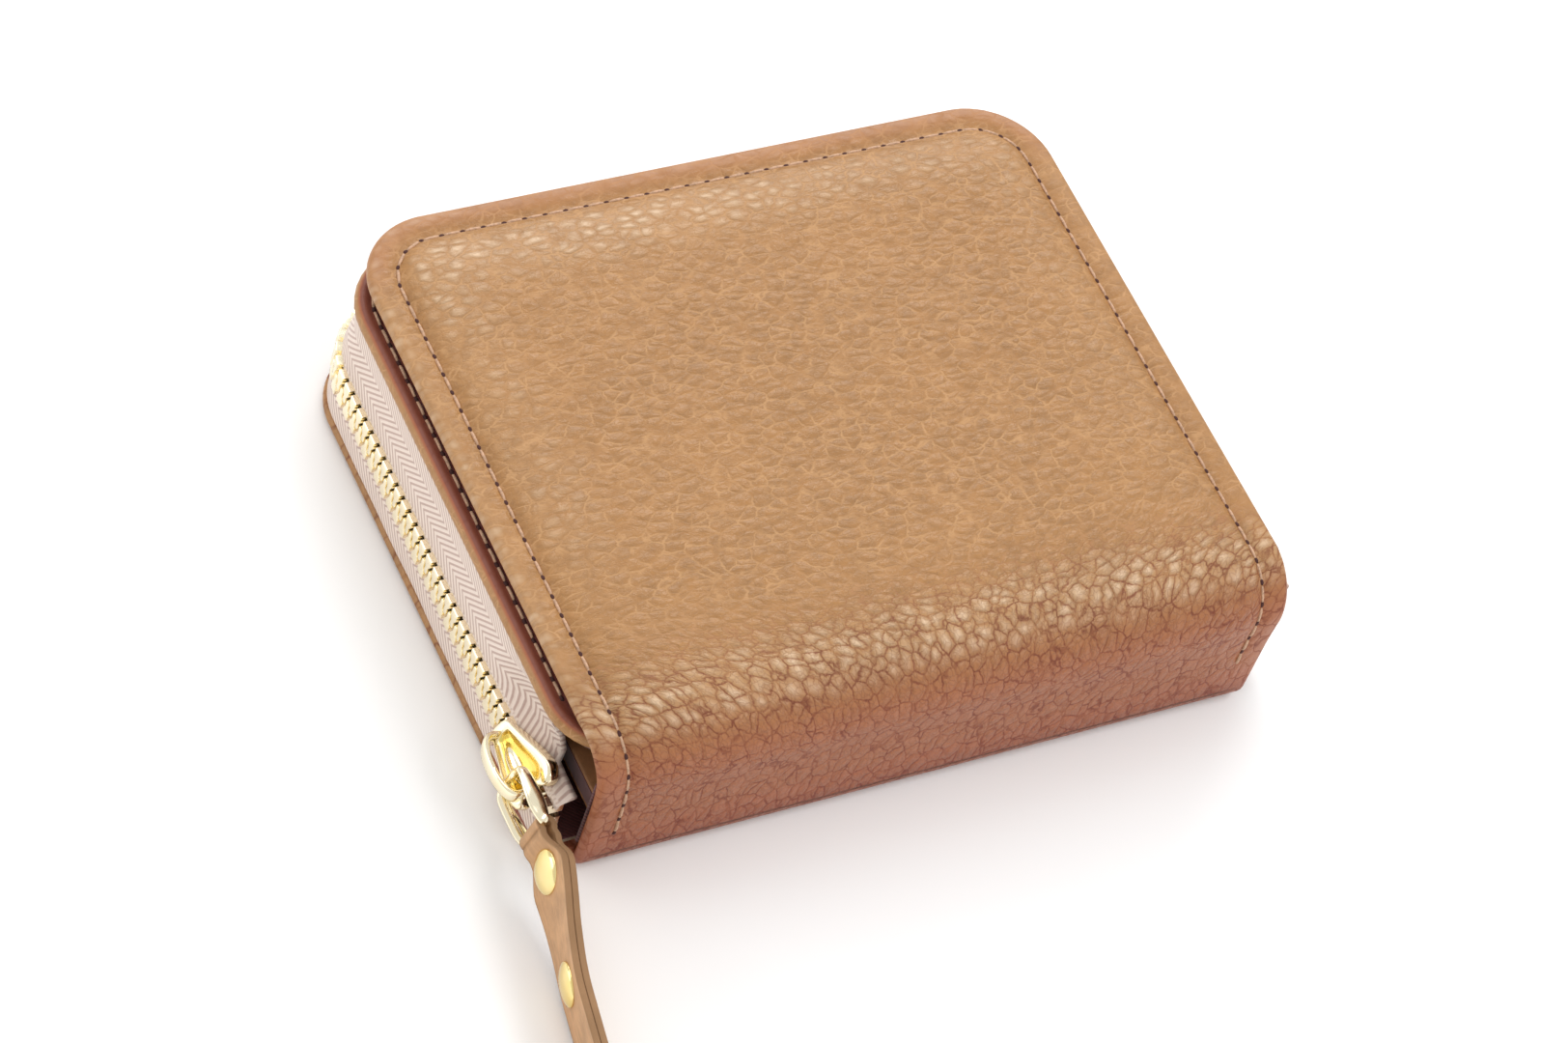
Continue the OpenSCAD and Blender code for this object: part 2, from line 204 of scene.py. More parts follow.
class Wire:
    """A shader socket that takes part in arithmetic: each operation adds a Math node."""

    def __init__(self, finish, socket):
        self.finish, self.socket = finish, socket

    def maths(self, operation, *values):
        return self.finish.add("ShaderNodeMath", {"operation": operation}, dict(enumerate(values)))

    def __add__(self, other):
        return self.maths("ADD", self, other)

    def __radd__(self, other):
        return self.maths("ADD", other, self)

    def __sub__(self, other):
        return self.maths("SUBTRACT", self, other)

    def __rsub__(self, other):
        return self.maths("SUBTRACT", other, self)

    def __mul__(self, other):
        return self.maths("MULTIPLY", self, other)

    def __rmul__(self, other):
        return self.maths("MULTIPLY", other, self)

    def __truediv__(self, other):
        return self.maths("DIVIDE", self, other)

    def __rtruediv__(self, other):
        return self.maths("DIVIDE", other, self)

    def fraction(self):
        return self.maths("FRACT", self)

    def absolute(self):
        return self.maths("ABSOLUTE", self)

    def sine(self):
        return self.maths("SINE", self)

    def clamped(self, low, high):
        """0 at low, 1 at high, smooth in between."""
        return self.finish.add(
            "ShaderNodeMapRange", {"interpolation_type": "SMOOTHSTEP"},
            {"Value": self, "From Min": low, "From Max": high, "To Min": 0.0, "To Max": 1.0})


class Finish:
    """A material under construction."""

    def __init__(self, name):
        self.material = bpy.data.materials.new(name)
        self.material.use_nodes = True
        self.tree = self.material.node_tree
        self.tree.nodes.clear()

    def add(self, kind, settings=None, inputs=None, output=0):
        """Adds a node of a type with its settings, then the values or links of its sockets."""
        node = self.tree.nodes.new(kind)
        for name, value in (settings or {}).items():
            setattr(node, name, value)
        for name, value in (inputs or {}).items():
            socket = node.inputs[name]
            if isinstance(value, Wire):
                self.tree.links.new(value.socket, socket)
            else:
                socket.default_value = value
        return Wire(self, node.outputs[output]) if node.outputs else None

    def attribute(self, name, output="Vector"):
        """A value stored on the mesh: a vector, or a number with output Fac."""
        return self.add("ShaderNodeAttribute", {"attribute_name": name}, output=output)

    def split(self, vector):
        """The x, y and z of a vector."""
        node = self.add("ShaderNodeSeparateXYZ", inputs={0: vector}).socket.node
        return [Wire(self, node.outputs[i]) for i in range(3)]

    def noise(self, vector, scale, detail=2.0, rough=0.5, output="Fac"):
        return self.add("ShaderNodeTexNoise", inputs={
            "Vector": vector, "Scale": scale, "Detail": detail, "Roughness": rough}, output=output)

    def cells(self, vector, scale, feature="DISTANCE_TO_EDGE", output="Distance"):
        return self.add("ShaderNodeTexVoronoi", {"feature": feature}, {
            "Vector": vector, "Scale": scale, "Randomness": 0.9}, output=output)

    def shifted(self, vector, amount, scale):
        """The vector, moved about by a slow noise."""
        drift = self.noise(vector, scale, output="Color")
        centred = self.add("ShaderNodeVectorMath", {"operation": "SUBTRACT"}, {0: drift, 1: (0.5, 0.5, 0.5)})
        scaled = self.add("ShaderNodeVectorMath", {"operation": "SCALE"}, {0: centred, "Scale": amount})
        return self.add("ShaderNodeVectorMath", {"operation": "ADD"}, {0: vector, 1: scaled})

    def mix(self, factor, first, second, mode="MIX"):
        """A colour between two colours."""
        ends = {6: first, 7: second}
        ends = {key: value if isinstance(value, Wire) else (*value, 1) for key, value in ends.items()}
        return self.add(
            "ShaderNodeMix", {"data_type": "RGBA", "blend_type": mode}, {0: factor, **ends}, output=2)

    def bump(self, height, distance, strength=1.0):
        return self.add("ShaderNodeBump", inputs={
            "Height": height, "Distance": distance * MM, "Strength": strength})

    def surface(self, **sockets):
        """Ends the material with a Principled shader."""
        named = {name.replace("_", " "): value for name, value in sockets.items()}
        shader = self.add("ShaderNodeBsdfPrincipled", inputs=named)
        self.add("ShaderNodeOutputMaterial", inputs={"Surface": shader})
        return self.material


def colours():
    """The colours that the user has set."""
    return bpy.context.scene.wallet_colours


def pebbled_leather():
    """Tan leather with a pebbled grain and pale creases. Painted shade darkens its creases, turns the spine and lower
    roll redder and lays a wine shadow under the flap's edge and at the foot; a painted highlight creams the roll and
    padded rim.
    """
    finish = Finish("case_leather")
    tint = colours()
    grain = finish.shifted(finish.shifted(finish.attribute("grain"), 0.36, 0.9), 0.24, 2.6)
    edge = finish.cells(grain, 1.25)
    small = finish.cells(finish.shifted(grain, 0.2, 2.6), 3.1)
    crease = 1 - edge.clamped(0.0, 0.085)
    pillow = edge.clamped(0.0, 0.30)
    crown = 1 - finish.cells(grain, 1.25, "F1").clamped(0.06, 0.50)
    faint = 1 - small.clamped(0.0, 0.09)
    rest = finish.attribute("rest")
    cloud = finish.noise(rest, 0.045, 3.0)
    mottle = finish.noise(rest, 0.5, 4.0, 0.6)
    pores = finish.noise(rest, 5.0, 2.0)
    low = finish.attribute("shade", "Fac")
    # Painted shadow: from 1 to 2, the shade attribute turns the leather to wine.
    painted_shadow = low.clamped(1.0, 2.0)
    # Painted shade: up to 1, the shade attribute turns the leather to the redder tone of the spine in shade.
    painted_shade = low.maths("MINIMUM", low, 1.0)
    base = finish.mix(mottle.clamped(0.30, 0.72), tint.leather, [c * 0.80 for c in tint.leather])
    base = finish.mix(cloud.clamped(0.35, 0.75) * 0.35, base, [c * 1.14 for c in tint.leather])
    # Where this mask is high, on the roll and spine, the creases take painted shade instead of pale colour, and the
    # relief is stronger.
    crease_shade_and_relief = finish.attribute("crease_shade_and_relief", "Fac")
    patch = finish.noise(grain, 0.9, 2.0).clamped(0.32, 0.66)
    pale = finish.mix((crease * patch * 0.62 + faint * 0.14) * (1 - crease_shade_and_relief), base, tint.crease)
    # Painted highlight: cream on the pebble tops where the pull attribute is set.
    painted_highlight = finish.attribute("pull", "Fac")
    with_painted_highlight = finish.mix(painted_highlight * (0.05 + crown * 0.42 + pillow * 0.26), pale, tint.highlight_cream)
    shade_toned = finish.mix(painted_shade, with_painted_highlight, tint.leather_shade)
    # Painted shade in the grain's creases, strongest on the roll and spine.
    crease_shade_mask = (crease * (0.30 + patch * 0.62) + faint * 0.28) * (0.16 + crease_shade_and_relief * 0.84)
    dark = finish.mix(crease_shade_mask, shade_toned, (0.52, 0.29, 0.22), "MULTIPLY")
    with_painted_shadow = finish.mix(painted_shadow, dark, tint.underside)
    relief = (0.66 + crease_shade_and_relief * 0.34) * finish.attribute("edge", "Fac").clamped(0.6, 5.2)
    height = (pillow * 0.42 + crown * 0.55 - faint * 0.14) * relief + mottle * 0.10 + pores * 0.05
    gloss = 0.35 + crease * 0.2 + mottle * 0.10
    return finish.surface(
        Base_Color=with_painted_shadow, Roughness=gloss, Normal=finish.bump(height, 0.34, 0.9),
        Specular_IOR_Level=0.45)


def smooth_leather(name, tint, fibre, distance):
    """Thin smooth leather: fine pores and a slow change of tone. Fibre darkens and frays its edges."""
    finish = Finish(name)
    rest = finish.attribute("rest")
    tone = finish.noise(rest, 0.22, 4.0, 0.6)
    pores = finish.noise(rest, 3.2, 3.0, 0.7)
    streak = finish.noise(finish.attribute("grain"), 1.0, 4.0, 0.65)
    rim = 1 - finish.attribute("edge", "Fac").clamped(0.05, 0.5)
    base = finish.mix(tone.clamped(0.3, 0.7), tint, [c * 0.72 for c in tint])
    base = finish.mix(streak.clamped(0.42, 0.75) * 0.4, base, [min(c * 1.3, 1) for c in tint])
    worn = finish.mix(rim * fibre * (0.55 + streak * 0.5), base, [c * 0.42 for c in tint])
    height = pores * 0.5 + streak * 0.5 + tone * 0.4
    return finish.surface(
        Base_Color=worn, Roughness=0.50 + rim * fibre * 0.3 + tone * 0.1,
        Normal=finish.bump(height, distance, 0.7))


def woven_tape():
    """Cream herringbone: diagonal yarns that change direction band by band, and a plain band by the teeth."""
    finish = Finish("zip_tape")
    tint = colours()
    along, across, _ = finish.split(finish.attribute("weave"))
    band_width, twill_pitch, plain_pitch = 6.6, 1.2, 0.7
    band = (across / band_width).fraction()
    slope = (band - 0.5).absolute() * band_width
    diagonal = ((along + slope * 1.15) * (math.tau / twill_pitch)).sine() * 0.5 + 0.5
    plain = (along * (math.tau / plain_pitch)).sine() * (across * (math.tau / plain_pitch)).sine() * 0.5 + 0.5
    near = 1 - finish.attribute("edge", "Fac").clamped(0.9, 1.1)
    yarn = diagonal * (1 - near) + plain * near
    fuzz = finish.noise(finish.attribute("rest"), 2.5, 3.0, 0.7)
    furrow = 1 - yarn.clamped(0.10, 0.60)
    base = finish.mix(furrow * (0.72 - near * 0.3) + fuzz.clamped(0.45, 0.8) * 0.15, tint.tape, tint.tape_line)
    shaded = finish.mix(fuzz.clamped(0.3, 0.9) * 0.3, base, [c * 1.08 for c in tint.tape])
    return finish.surface(
        Base_Color=shaded, Roughness=0.88, Normal=finish.bump(yarn * 0.8 + fuzz * 0.4, 0.12, 0.8),
        Sheen_Weight=0.25)


def gold_metal():
    """Polished pale gold plating with faint marks. Where the shade attribute is set it turns richer gold: painted
    shade in the slider's recess, the rivets' own deeper tint.
    """
    finish = Finish("gold_metal")
    tint = colours()
    rest = finish.add("ShaderNodeTexCoord", output="Object")
    marks = finish.noise(rest, 900.0, 3.0, 0.6)
    slow = finish.noise(rest, 160.0, 2.0)
    deep_and_recess_shade = finish.attribute("shade", "Fac") + slow.clamped(0.35, 0.8) * 0.25
    base = finish.mix(deep_and_recess_shade.clamped(0.0, 1.0), tint.metal, tint.metal_deep_and_recess_shade)
    return finish.surface(
        Base_Color=base, Metallic=1.0, Roughness=0.14 + marks.clamped(0.4, 0.8) * 0.12,
        Normal=finish.bump(slow, 0.05, 0.25))


def twill_lining():
    """Brown woven lining with a fine diagonal rib."""
    finish = Finish("lining")
    tint = colours()
    x, y, z = finish.split(finish.attribute("rest"))
    rib_pitch = 0.7
    rib = ((x + y + z) * (math.tau / rib_pitch)).sine() * 0.5 + 0.5
    fuzz = finish.noise(finish.attribute("rest"), 1.8, 3.0, 0.7)
    base = finish.mix(rib.clamped(0.2, 0.8) * 0.6 + fuzz * 0.2, tint.lining, [c * 1.9 for c in tint.lining])
    return finish.surface(
        Base_Color=base, Roughness=0.8, Normal=finish.bump(rib + fuzz * 0.5, 0.08, 0.6),
        Sheen_Weight=0.3)


def sewing_thread():
    """Twisted thread."""
    finish = Finish("thread")
    tint = colours()
    rest = finish.attribute("rest")
    ply = finish.noise(rest, 2.2, 3.0, 0.7)
    base = finish.mix(ply.clamped(0.35, 0.7), tint.thread, [c * 0.62 for c in tint.thread])
    return finish.surface(Base_Color=base, Roughness=0.62, Normal=finish.bump(ply, 0.08, 0.6))


def needle_hole_shade():
    """Painted shade inside a needle hole: near-black brown with a little grit."""
    finish = Finish("needle_hole_shade")
    grit = finish.noise(finish.attribute("rest"), 3.0, 2.0)
    base = finish.mix(grit, (0.035, 0.010, 0.012), (0.09, 0.03, 0.022))
    return finish.surface(Base_Color=base, Roughness=0.9)


def hidden_board():
    """Fibre board and foam that nobody sees while the wallet is whole."""
    finish = Finish("stiffener")
    speck = finish.noise(finish.attribute("rest"), 1.2, 4.0, 0.7)
    base = finish.mix(speck.clamped(0.3, 0.75), (0.46, 0.38, 0.29), (0.30, 0.24, 0.18))
    return finish.surface(Base_Color=base, Roughness=0.9, Normal=finish.bump(speck, 0.1, 0.5))


MATERIALS = {}


def material(name):
    """A material by name, made once."""
    if name not in MATERIALS:
        tint = colours()
        makers = {
            "case_leather": pebbled_leather,
            "strap_leather": lambda: smooth_leather("strap_leather", tint.strap, 1.0, 0.12),
            "pocket_leather": lambda: smooth_leather("pocket_leather", tint.pocket, 0.5, 0.08),
            "zip_tape": woven_tape,
            "gold_metal": gold_metal,
            "lining": twill_lining,
            "thread": sewing_thread,
            "needle_hole_shade": needle_hole_shade,
            "stiffener": hidden_board,
        }
        MATERIALS[name] = makers[name]()
    return MATERIALS[name]


# ---------------------------------------------------------------- meshes


def steps_between(low, high, step):
    """Even stations from low to high, no further apart than a step."""
    count = max(1, int(math.ceil((high - low) / step)))
    return list(np.linspace(low, high, count + 1))


def smooth_step(t):
    """0 below 0, 1 above 1, smooth in between."""
    u = np.clip(t, 0, 1)
    return u * u * (3 - 2 * u)


def round_rim(distance, radius, power=2.0):
    """Share of the full thickness at a distance from a rounded edge."""
    gap = 1 - np.clip(distance / radius, 0, 1)
    return np.power(np.clip(1 - gap ** power, 0, 1), 1 / power)


def mirrored(right, half):
    """Shares of a half width on both sides, from stations on the right that start at the middle."""
    return np.array([-u for u in right[:0:-1]] + right) / half


def run_along(path):
    """Distance of each point of a path from its start."""
    return np.concatenate([[0], np.cumsum(np.linalg.norm(np.diff(path, axis=0), axis=1))])


def tube_faces(rings, sides, first=0, closed=False, flipped=False):
    """Quads between neighbouring rings of points, and from the last ring to the first when closed."""
    faces = []
    for i in range(rings if closed else rings - 1):
        here, there = first + i * sides, first + (i + 1) % rings * sides
        for k in range(sides):
            n = (k + 1) % sides
            a, b, c, d = here + k, here + n, there + n, there + k
            faces.append((a, d, c, b) if flipped else (a, b, c, d))
    return faces


def ring(centre, first, second, sides):
    """Points of an ellipse round a centre, from its two half axes."""
    angles = (math.tau * k / sides for k in range(sides))
    return [centre + math.cos(angle) * first + math.sin(angle) * second for angle in angles]


def taken_apart(made):
    """Points and faces of a bmesh, which is then freed."""
    made.verts.index_update()
    points = np.array([v.co for v in made.verts])
    faces = [tuple(v.index for v in f.verts) for f in made.faces]
    made.free()
    return points, faces


def add_attributes(mesh, values):
    """Stores vertex values: arrays of one number or of three numbers a vertex."""
    for name, data in values.items():
        data = np.asarray(data, np.float32)
        kind, field = ("FLOAT_VECTOR", "vector") if data.ndim == 2 else ("FLOAT", "value")
        mesh.attributes.new(name, kind, "POINT").data.foreach_set(field, data.ravel())


def new_piece(name, points, faces, finish, attributes=None, normals=None, sharp=None):
    """A smooth mesh piece from points in millimetres. Every piece stores where it is at rest."""
    points = np.asarray(points, float)
    mesh = bpy.data.meshes.new(name)
    mesh.from_pydata((points * MM).tolist(), [], [list(map(int, f)) for f in faces])
    mesh.validate()
    mesh.shade_smooth()
    values = {"rest": points, **(attributes or {})}
    values.setdefault("grain", points * (0.30, 0.42, 0.42))
    values.setdefault("shade", np.zeros(len(points)))
    values.setdefault("crease_shade_and_relief", np.zeros(len(points)))
    add_attributes(mesh, values)
    if sharp:
        mesh.set_sharp_from_angle(angle=math.radians(sharp))
    if normals is not None:
        mesh.normals_split_custom_set([Vector(n) for n in normals])
    piece = bpy.data.objects.new(name, mesh)
    bpy.context.scene.collection.objects.link(piece)
    mesh.materials.append(material(finish))
    return piece


def place(piece, body, nodes=()):
    """Rides a piece on a body and the frame nodes it stands for."""
    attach(piece, body)
    if nodes:
        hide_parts(*nodes)
    return piece


def sheet_faces(outer, inner, cap_first=False, cap_last=False):
    """Faces of a closed double sheet from two index grids, and how many of them close cut ends."""
    rows, columns = outer.shape
    faces = []
    for i in range(rows - 1):
        for j in range(columns - 1):
            faces.append((outer[i, j], outer[i, j + 1], outer[i + 1, j + 1], outer[i + 1, j]))
            faces.append((inner[i, j], inner[i + 1, j], inner[i + 1, j + 1], inner[i, j + 1]))
    skin = len(faces)
    for row, wanted, flip in ((0, cap_first, False), (rows - 1, cap_last, True)):
        if wanted:
            for j in range(columns - 1):
                face = (outer[row, j], inner[row, j], inner[row, j + 1], outer[row, j + 1])
                faces.append(face[::-1] if flip else face)
    tidy = [tuple(dict.fromkeys(f)) for f in faces]
    kept = [f for f in tidy if len(f) > 2]
    return kept, sum(1 for f in tidy[skin:] if len(f) > 2)


def sheet_indices(rows, columns):
    """Index grids of the two faces of a sheet, which share their borders."""
    outer = np.arange(rows * columns).reshape(rows, columns)
    inner = outer + rows * columns
    inner[:, (0, -1)] = outer[:, (0, -1)]
    inner[(0, -1), :] = outer[(0, -1), :]
    return outer, inner


def on_both_faces(grid):
    """Vertex values of a sheet from the grid that its two faces share."""
    rows, columns, *parts = np.shape(grid)
    return np.concatenate([np.reshape(grid, (rows * columns, *parts))] * 2)


def without_spares(points, faces, values):
    """Drops the points that no face uses."""
    used = np.unique(np.concatenate([np.array(f) for f in faces]))
    fresh = np.full(len(points), -1)
    fresh[used] = np.arange(len(used))
    faces = [tuple(fresh[list(f)]) for f in faces]
    return points[used], faces, {k: np.asarray(v)[used] for k, v in values.items()}, used


def double_sheet(name, outer, inner, finish, attributes=None, **options):
    """A closed sheet from two grids of points that meet along all four borders."""
    faces, _ = sheet_faces(*sheet_indices(*outer.shape[:2]))
    points = np.concatenate([outer.reshape(-1, 3), inner.reshape(-1, 3)])
    both = {key: on_both_faces(grid) for key, grid in (attributes or {}).items()}
    points, faces, both, _ = without_spares(points, faces, both)
    return new_piece(name, points, faces, finish, both, **options)


def joined_pieces(name, parts, finish, **options):
    """One piece from several (points, faces) parts."""
    points, faces, base = [], [], 0
    for part_points, part_faces in parts:
        points.append(part_points)
        faces += [tuple(i + base for i in f) for f in part_faces]
        base += len(part_points)
    return new_piece(name, np.concatenate(points), faces, finish, **options)


# ---------------------------------------------------------------- outer leather skin


def neutral_line(v):
    """(y, z, outward y, outward z) of the skin's middle at a run v, which is 0 at the foot of the spine."""
    v = np.asarray(v, float)
    foot_y, foot_z = SPINE_Y + FOOT_R, NEUTRAL + FOOT_R
    roll_y, roll_z = SPINE_Y + ROLL_R, RIM_TOP - NEUTRAL - ROLL_R
    a = np.clip((v + FOOT_RUN) / FOOT_R, 0, math.pi / 2)
    b = np.clip((v - ROLL_START) / ROLL_R, 0, math.pi / 2)
    y = np.where(v < 0, foot_y - FOOT_R * np.sin(a), roll_y - ROLL_R * np.cos(b))
    y += np.clip(-FOOT_RUN - v, 0, None) + np.clip(v - ROLL_END, 0, None)
    z = np.where(v < 0, foot_z - FOOT_R * np.cos(a), foot_z + np.clip(v, 0, ROLL_START) + ROLL_R * np.sin(b))
    out_y = np.where(v < 0, -np.sin(a), -np.cos(b))
    out_z = np.where(v < 0, -np.cos(a), np.sin(b))
    return y, z, out_y, out_z


def skin_half(v):
    """Half width of the skin at a run v."""
    v = np.asarray(v, float)
    upper = SPINE_HALF + (FLAP_HALF - SPINE_HALF) * smooth_step((v - 10) / 20)
    back = np.clip(CORNER - (SKIN_END - v), 0, CORNER)
    upper = np.where(back > 0, FLAP_HALF - CORNER + np.sqrt(CORNER ** 2 - back ** 2), upper)
    front_r = BOTTOM_HALF - SPINE_HALF
    front = np.clip(front_r - np.clip(-FOOT_RUN - v, 0, None), 0, front_r)
    lower = SPINE_HALF + np.sqrt(front_r ** 2 - front ** 2)
    back = np.clip(CORNER - (v - SKIN_START), 0, CORNER)
    lower = np.where(back > 0, BOTTOM_HALF - CORNER + np.sqrt(CORNER ** 2 - back ** 2), lower)
    return np.where(v < 0, lower, upper)


def corner_distance(dx, dv, radius):
    """Distance to the edge of a round-cornered outline from its distances to two straight sides."""
    inside = radius - np.hypot(radius - dx, radius - dv)
    return np.where((dx < radius) & (dv < radius), inside, np.minimum(dx, dv))


def skin_edge(x, v):
    """Distance from a point of the skin to its nearest turned edge."""
    ax = np.abs(x)
    back = corner_distance(FLAP_HALF - ax, SKIN_END - v, CORNER)
    bottom = corner_distance(BOTTOM_HALF - ax, v - SKIN_START, CORNER)
    side = skin_half(v) - ax
    near_end = np.where(v > ROLL_END, back, np.where(v < -FOOT_RUN - 6, bottom, side))
    return np.clip(np.minimum(near_end, np.where(v > ROLL_END, back, side)), 0, None)


def skin_surface(x, v, side=1):
    """Points of the skin's grain side (side 1) or flesh side (side -1)."""
    x, v = np.broadcast_arrays(np.asarray(x, float), np.asarray(v, float))
    y, z, out_y, out_z = neutral_line(v)
    edge = skin_edge(x, v)
    rise = NEUTRAL * round_rim(edge, NEUTRAL)
    if side > 0:
        top = smooth_step((v - 4) / 14)
        flap_rise = bpy.context.scene.wallet_sizes.flap_rise / MM
        crown = flap_rise * (1 - np.exp(-np.clip(edge - STITCH_INSET - 0.2, 0, None) / 4.2))
        ease = 0.25 + 0.75 * smooth_step((v - ROLL_START + 4) / 12)
        groove = 0.34 * np.exp(-((edge - STITCH_INSET) / 0.75) ** 2)
        rim = 0.14 * np.exp(-((edge - 2.1) / 1.2) ** 2)
        rise = rise + np.where(v > 0, (crown * ease - groove + rim) * top, 0)
        rise = rise + hand_waves(x, v, edge)
    return np.stack([x, y + side * out_y * rise, z + side * out_z * rise], axis=-1)


def hand_waves(x, v, edge):
    """Slow unevenness of soft leather, and fine puckers along the sewn rim at the back."""
    flat_x, flat_v = np.ravel(x), np.ravel(v)
    slow = np.array([noise.noise(Vector((a * 0.045, b * 0.06, 3.1))) for a, b in zip(flat_x, flat_v)])
    slow = slow.reshape(np.shape(x)) * 0.26 * smooth_step((edge - 1.5) / 8) * smooth_step(v / 10)
    back = smooth_step((v - (SKIN_END - 6)) / 3) * smooth_step(edge / 1.0) * smooth_step((4.6 - edge) / 2)
    pucker = 0.07 * np.sin(x * 2.1 + 1.3 * np.sin(x * 0.37)) * back
    return slow + pucker


def skin_columns():
    """Shares of the half width, crowded towards both edges."""
    near = [
        0, 0.05, 0.18, 0.36, 0.6, 0.95, 1.4, 1.9, 2.4, 2.9, 3.4,
        3.8, 4.1, 4.4, 4.7, 5.05, 5.5, 6.1, 6.9, 7.9, 9.1]
    side = [FLAP_HALF - d for d in near]
    return mirrored(steps_between(0, side[-1] - 1.2, 1.5) + side[::-1], FLAP_HALF)


def skin_rows():
    """Runs of the mesh rows, crowded at the ends and in the bends."""
    ends = [CORNER * (1 - math.cos(math.radians(a))) for a in range(0, 91, 5)]
    bottom = [SKIN_START + d for d in ends]
    flap = [SKIN_END - d for d in ends][::-1]
    rows = bottom + steps_between(bottom[-1] + 2, -9, 2.5) + steps_between(-8, -FOOT_RUN, 0.8)
    rows += steps_between(-FOOT_RUN + 0.4, SPINE_SEAM, 0.45)
    rows += steps_between(SPINE_SEAM + 0.5, CREASE_SEAM, 0.5)
    rows += steps_between(CREASE_SEAM + 0.5, ROLL_END + 8, 0.6)
    rows += steps_between(ROLL_END + 9, flap[0] - 1.2, 1.3) + flap
    return np.array(rows)


def vertex_normals(points, faces):
    """Area-weighted normals."""
    total = np.zeros_like(points)
    for size in {len(f) for f in faces}:
        index = np.array([f for f in faces if len(f) == size])
        corner = points[index]
        normal = np.cross(corner[:, 1] - corner[:, 0], corner[:, 2] - corner[:, 0])
        if size == 4:
            normal = normal + np.cross(corner[:, 2] - corner[:, 0], corner[:, 3] - corner[:, 0])
        for k in range(size):
            np.add.at(total, index[:, k], normal)
    return total / np.maximum(np.linalg.norm(total, axis=1, keepdims=True), 1e-12)


def skin_grain(x, v):
    """Grain coordinates in cells: long across the flap, upright on the spine."""
    on_top = smooth_step((v - ROLL_START) / 26)
    across = x * (0.40 - 0.12 * on_top)
    along = v * 0.24 + np.clip(v - ROLL_START, 0, None) * 0.20
    return np.stack([across, along, 0 * x + 5 * (v < 0)], axis=-1)


def skin_shade(x, v):
    """Painted shade: how far the leather turns to the redder shade tone on the spine and the roll's lower half, most
    at the foot, where it passes 1 into painted shadow, and along the redder back rim.
    """
    upper = 1 - smooth_step((v - ROLL_START - 0.18 * ROLL_RUN) / (0.80 * ROLL_RUN))
    rim = (1 - smooth_step((skin_edge(x, v) - 1.5) / 3)) * smooth_step((v - SKIN_END + 16) / 10)
    return (0.85 * upper + 0.55 * (1 - smooth_step((v + 1) / 9)) + 0.30 * rim) * (v > -20)


def skin_painted_highlight(x, v):
    """Painted highlight: how far the leather is paled to cream over the roll, inside the padded rim, most at the back
    left, and along the flap's turned left edge.
    """
    roll = smooth_step((v - ROLL_START - 0.50 * ROLL_RUN) / 3) * (1 - smooth_step((v - ROLL_END + 1) / 8))
    edge = skin_edge(x, v)
    rim = smooth_step((edge - 5) / 3) * (1 - smooth_step((edge - 10) / 9)) * smooth_step((v - ROLL_END - 12) / 20)
    back = 0.35 + 0.65 * smooth_step((v - (SKIN_END - 24)) / 14)
    left = 0.4 + 0.6 * (1 - smooth_step((x + 30) / 70))
    turned = (1 - smooth_step((edge - 0.9) / 1.4)) * smooth_step((v - ROLL_END - 2) / 9) * (x < -SKIN_END / 3)
    return roll + rim * back * left + 0.6 * turned


def build_skin():
    """The leather from the bottom round the spine to the flap, cut where bodies meet."""
    rows, shares = skin_rows(), skin_columns()
    v = np.repeat(rows[:, None], len(shares), axis=1)
    x = shares[None, :] * skin_half(rows)[:, None]
    outer, inner = skin_surface(x, v), skin_surface(x, v, -1)
    a, b = sheet_indices(*x.shape)
    faces, _ = sheet_faces(a, b)
    points = np.concatenate([outer.reshape(-1, 3), inner.reshape(-1, 3)])
    normals = vertex_normals(points, faces)
    values = {
        # Painted light in these values: shade is painted shade and shadow, pull is painted highlight, and the last
        # sets painted shade in the grain's creases.
        "grain": skin_grain(x, v), "shade": skin_shade(x, v), "edge": skin_edge(x, v), "pull": skin_painted_highlight(x, v),
        "crease_shade_and_relief": 1 - smooth_step((v - ROLL_END + 2) / 15)}
    values = {key: on_both_faces(grid) for key, grid in values.items()}
    cuts = [0, int(np.argmin(abs(rows - SPINE_SEAM))), int(np.argmin(abs(rows - CREASE_SEAM))), len(rows) - 1]
    names = ("bottom_leather", "shoulder_leather", "flap_leather")
    made = []
    for k, name in enumerate(names):
        part = slice(cuts[k], cuts[k + 1] + 1)
        piece_faces, capped = sheet_faces(a[part], b[part], cap_first=k > 0, cap_last=k < 2)
        skin_faces = len(piece_faces) - capped
        kept_points, kept_faces, kept_values, used = without_spares(points, piece_faces, values)
        kept_normals = normals[used]
        loops = []
        for number, face in enumerate(kept_faces):
            if number < skin_faces:
                loops += [kept_normals[i] for i in face]
            else:
                corner = kept_points[list(face)]
                flat = np.cross(corner[1] - corner[0], corner[2] - corner[0])
                loops += [flat / max(np.linalg.norm(flat), 1e-12)] * len(face)
        made.append(new_piece(name, kept_points, kept_faces, "case_leather", kept_values, loops))
    return made


SKIN_BENDS = {
    "bottom": ("lower", "spine", (0, -43, 1), (0, -47.5, 6)),
    "shoulder": ("spine", "shell", (0, -47.5, 14), (0, -47.5, 22)),
    "flap": ("shell", "flap", (0, -42.2, 27), (0, -36, 27)),
}


def bend_skin(piece):
    """Bakes a piece of the skin's transform into its mesh."""
    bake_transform(piece)


# ---------------------------------------------------------------- stitches


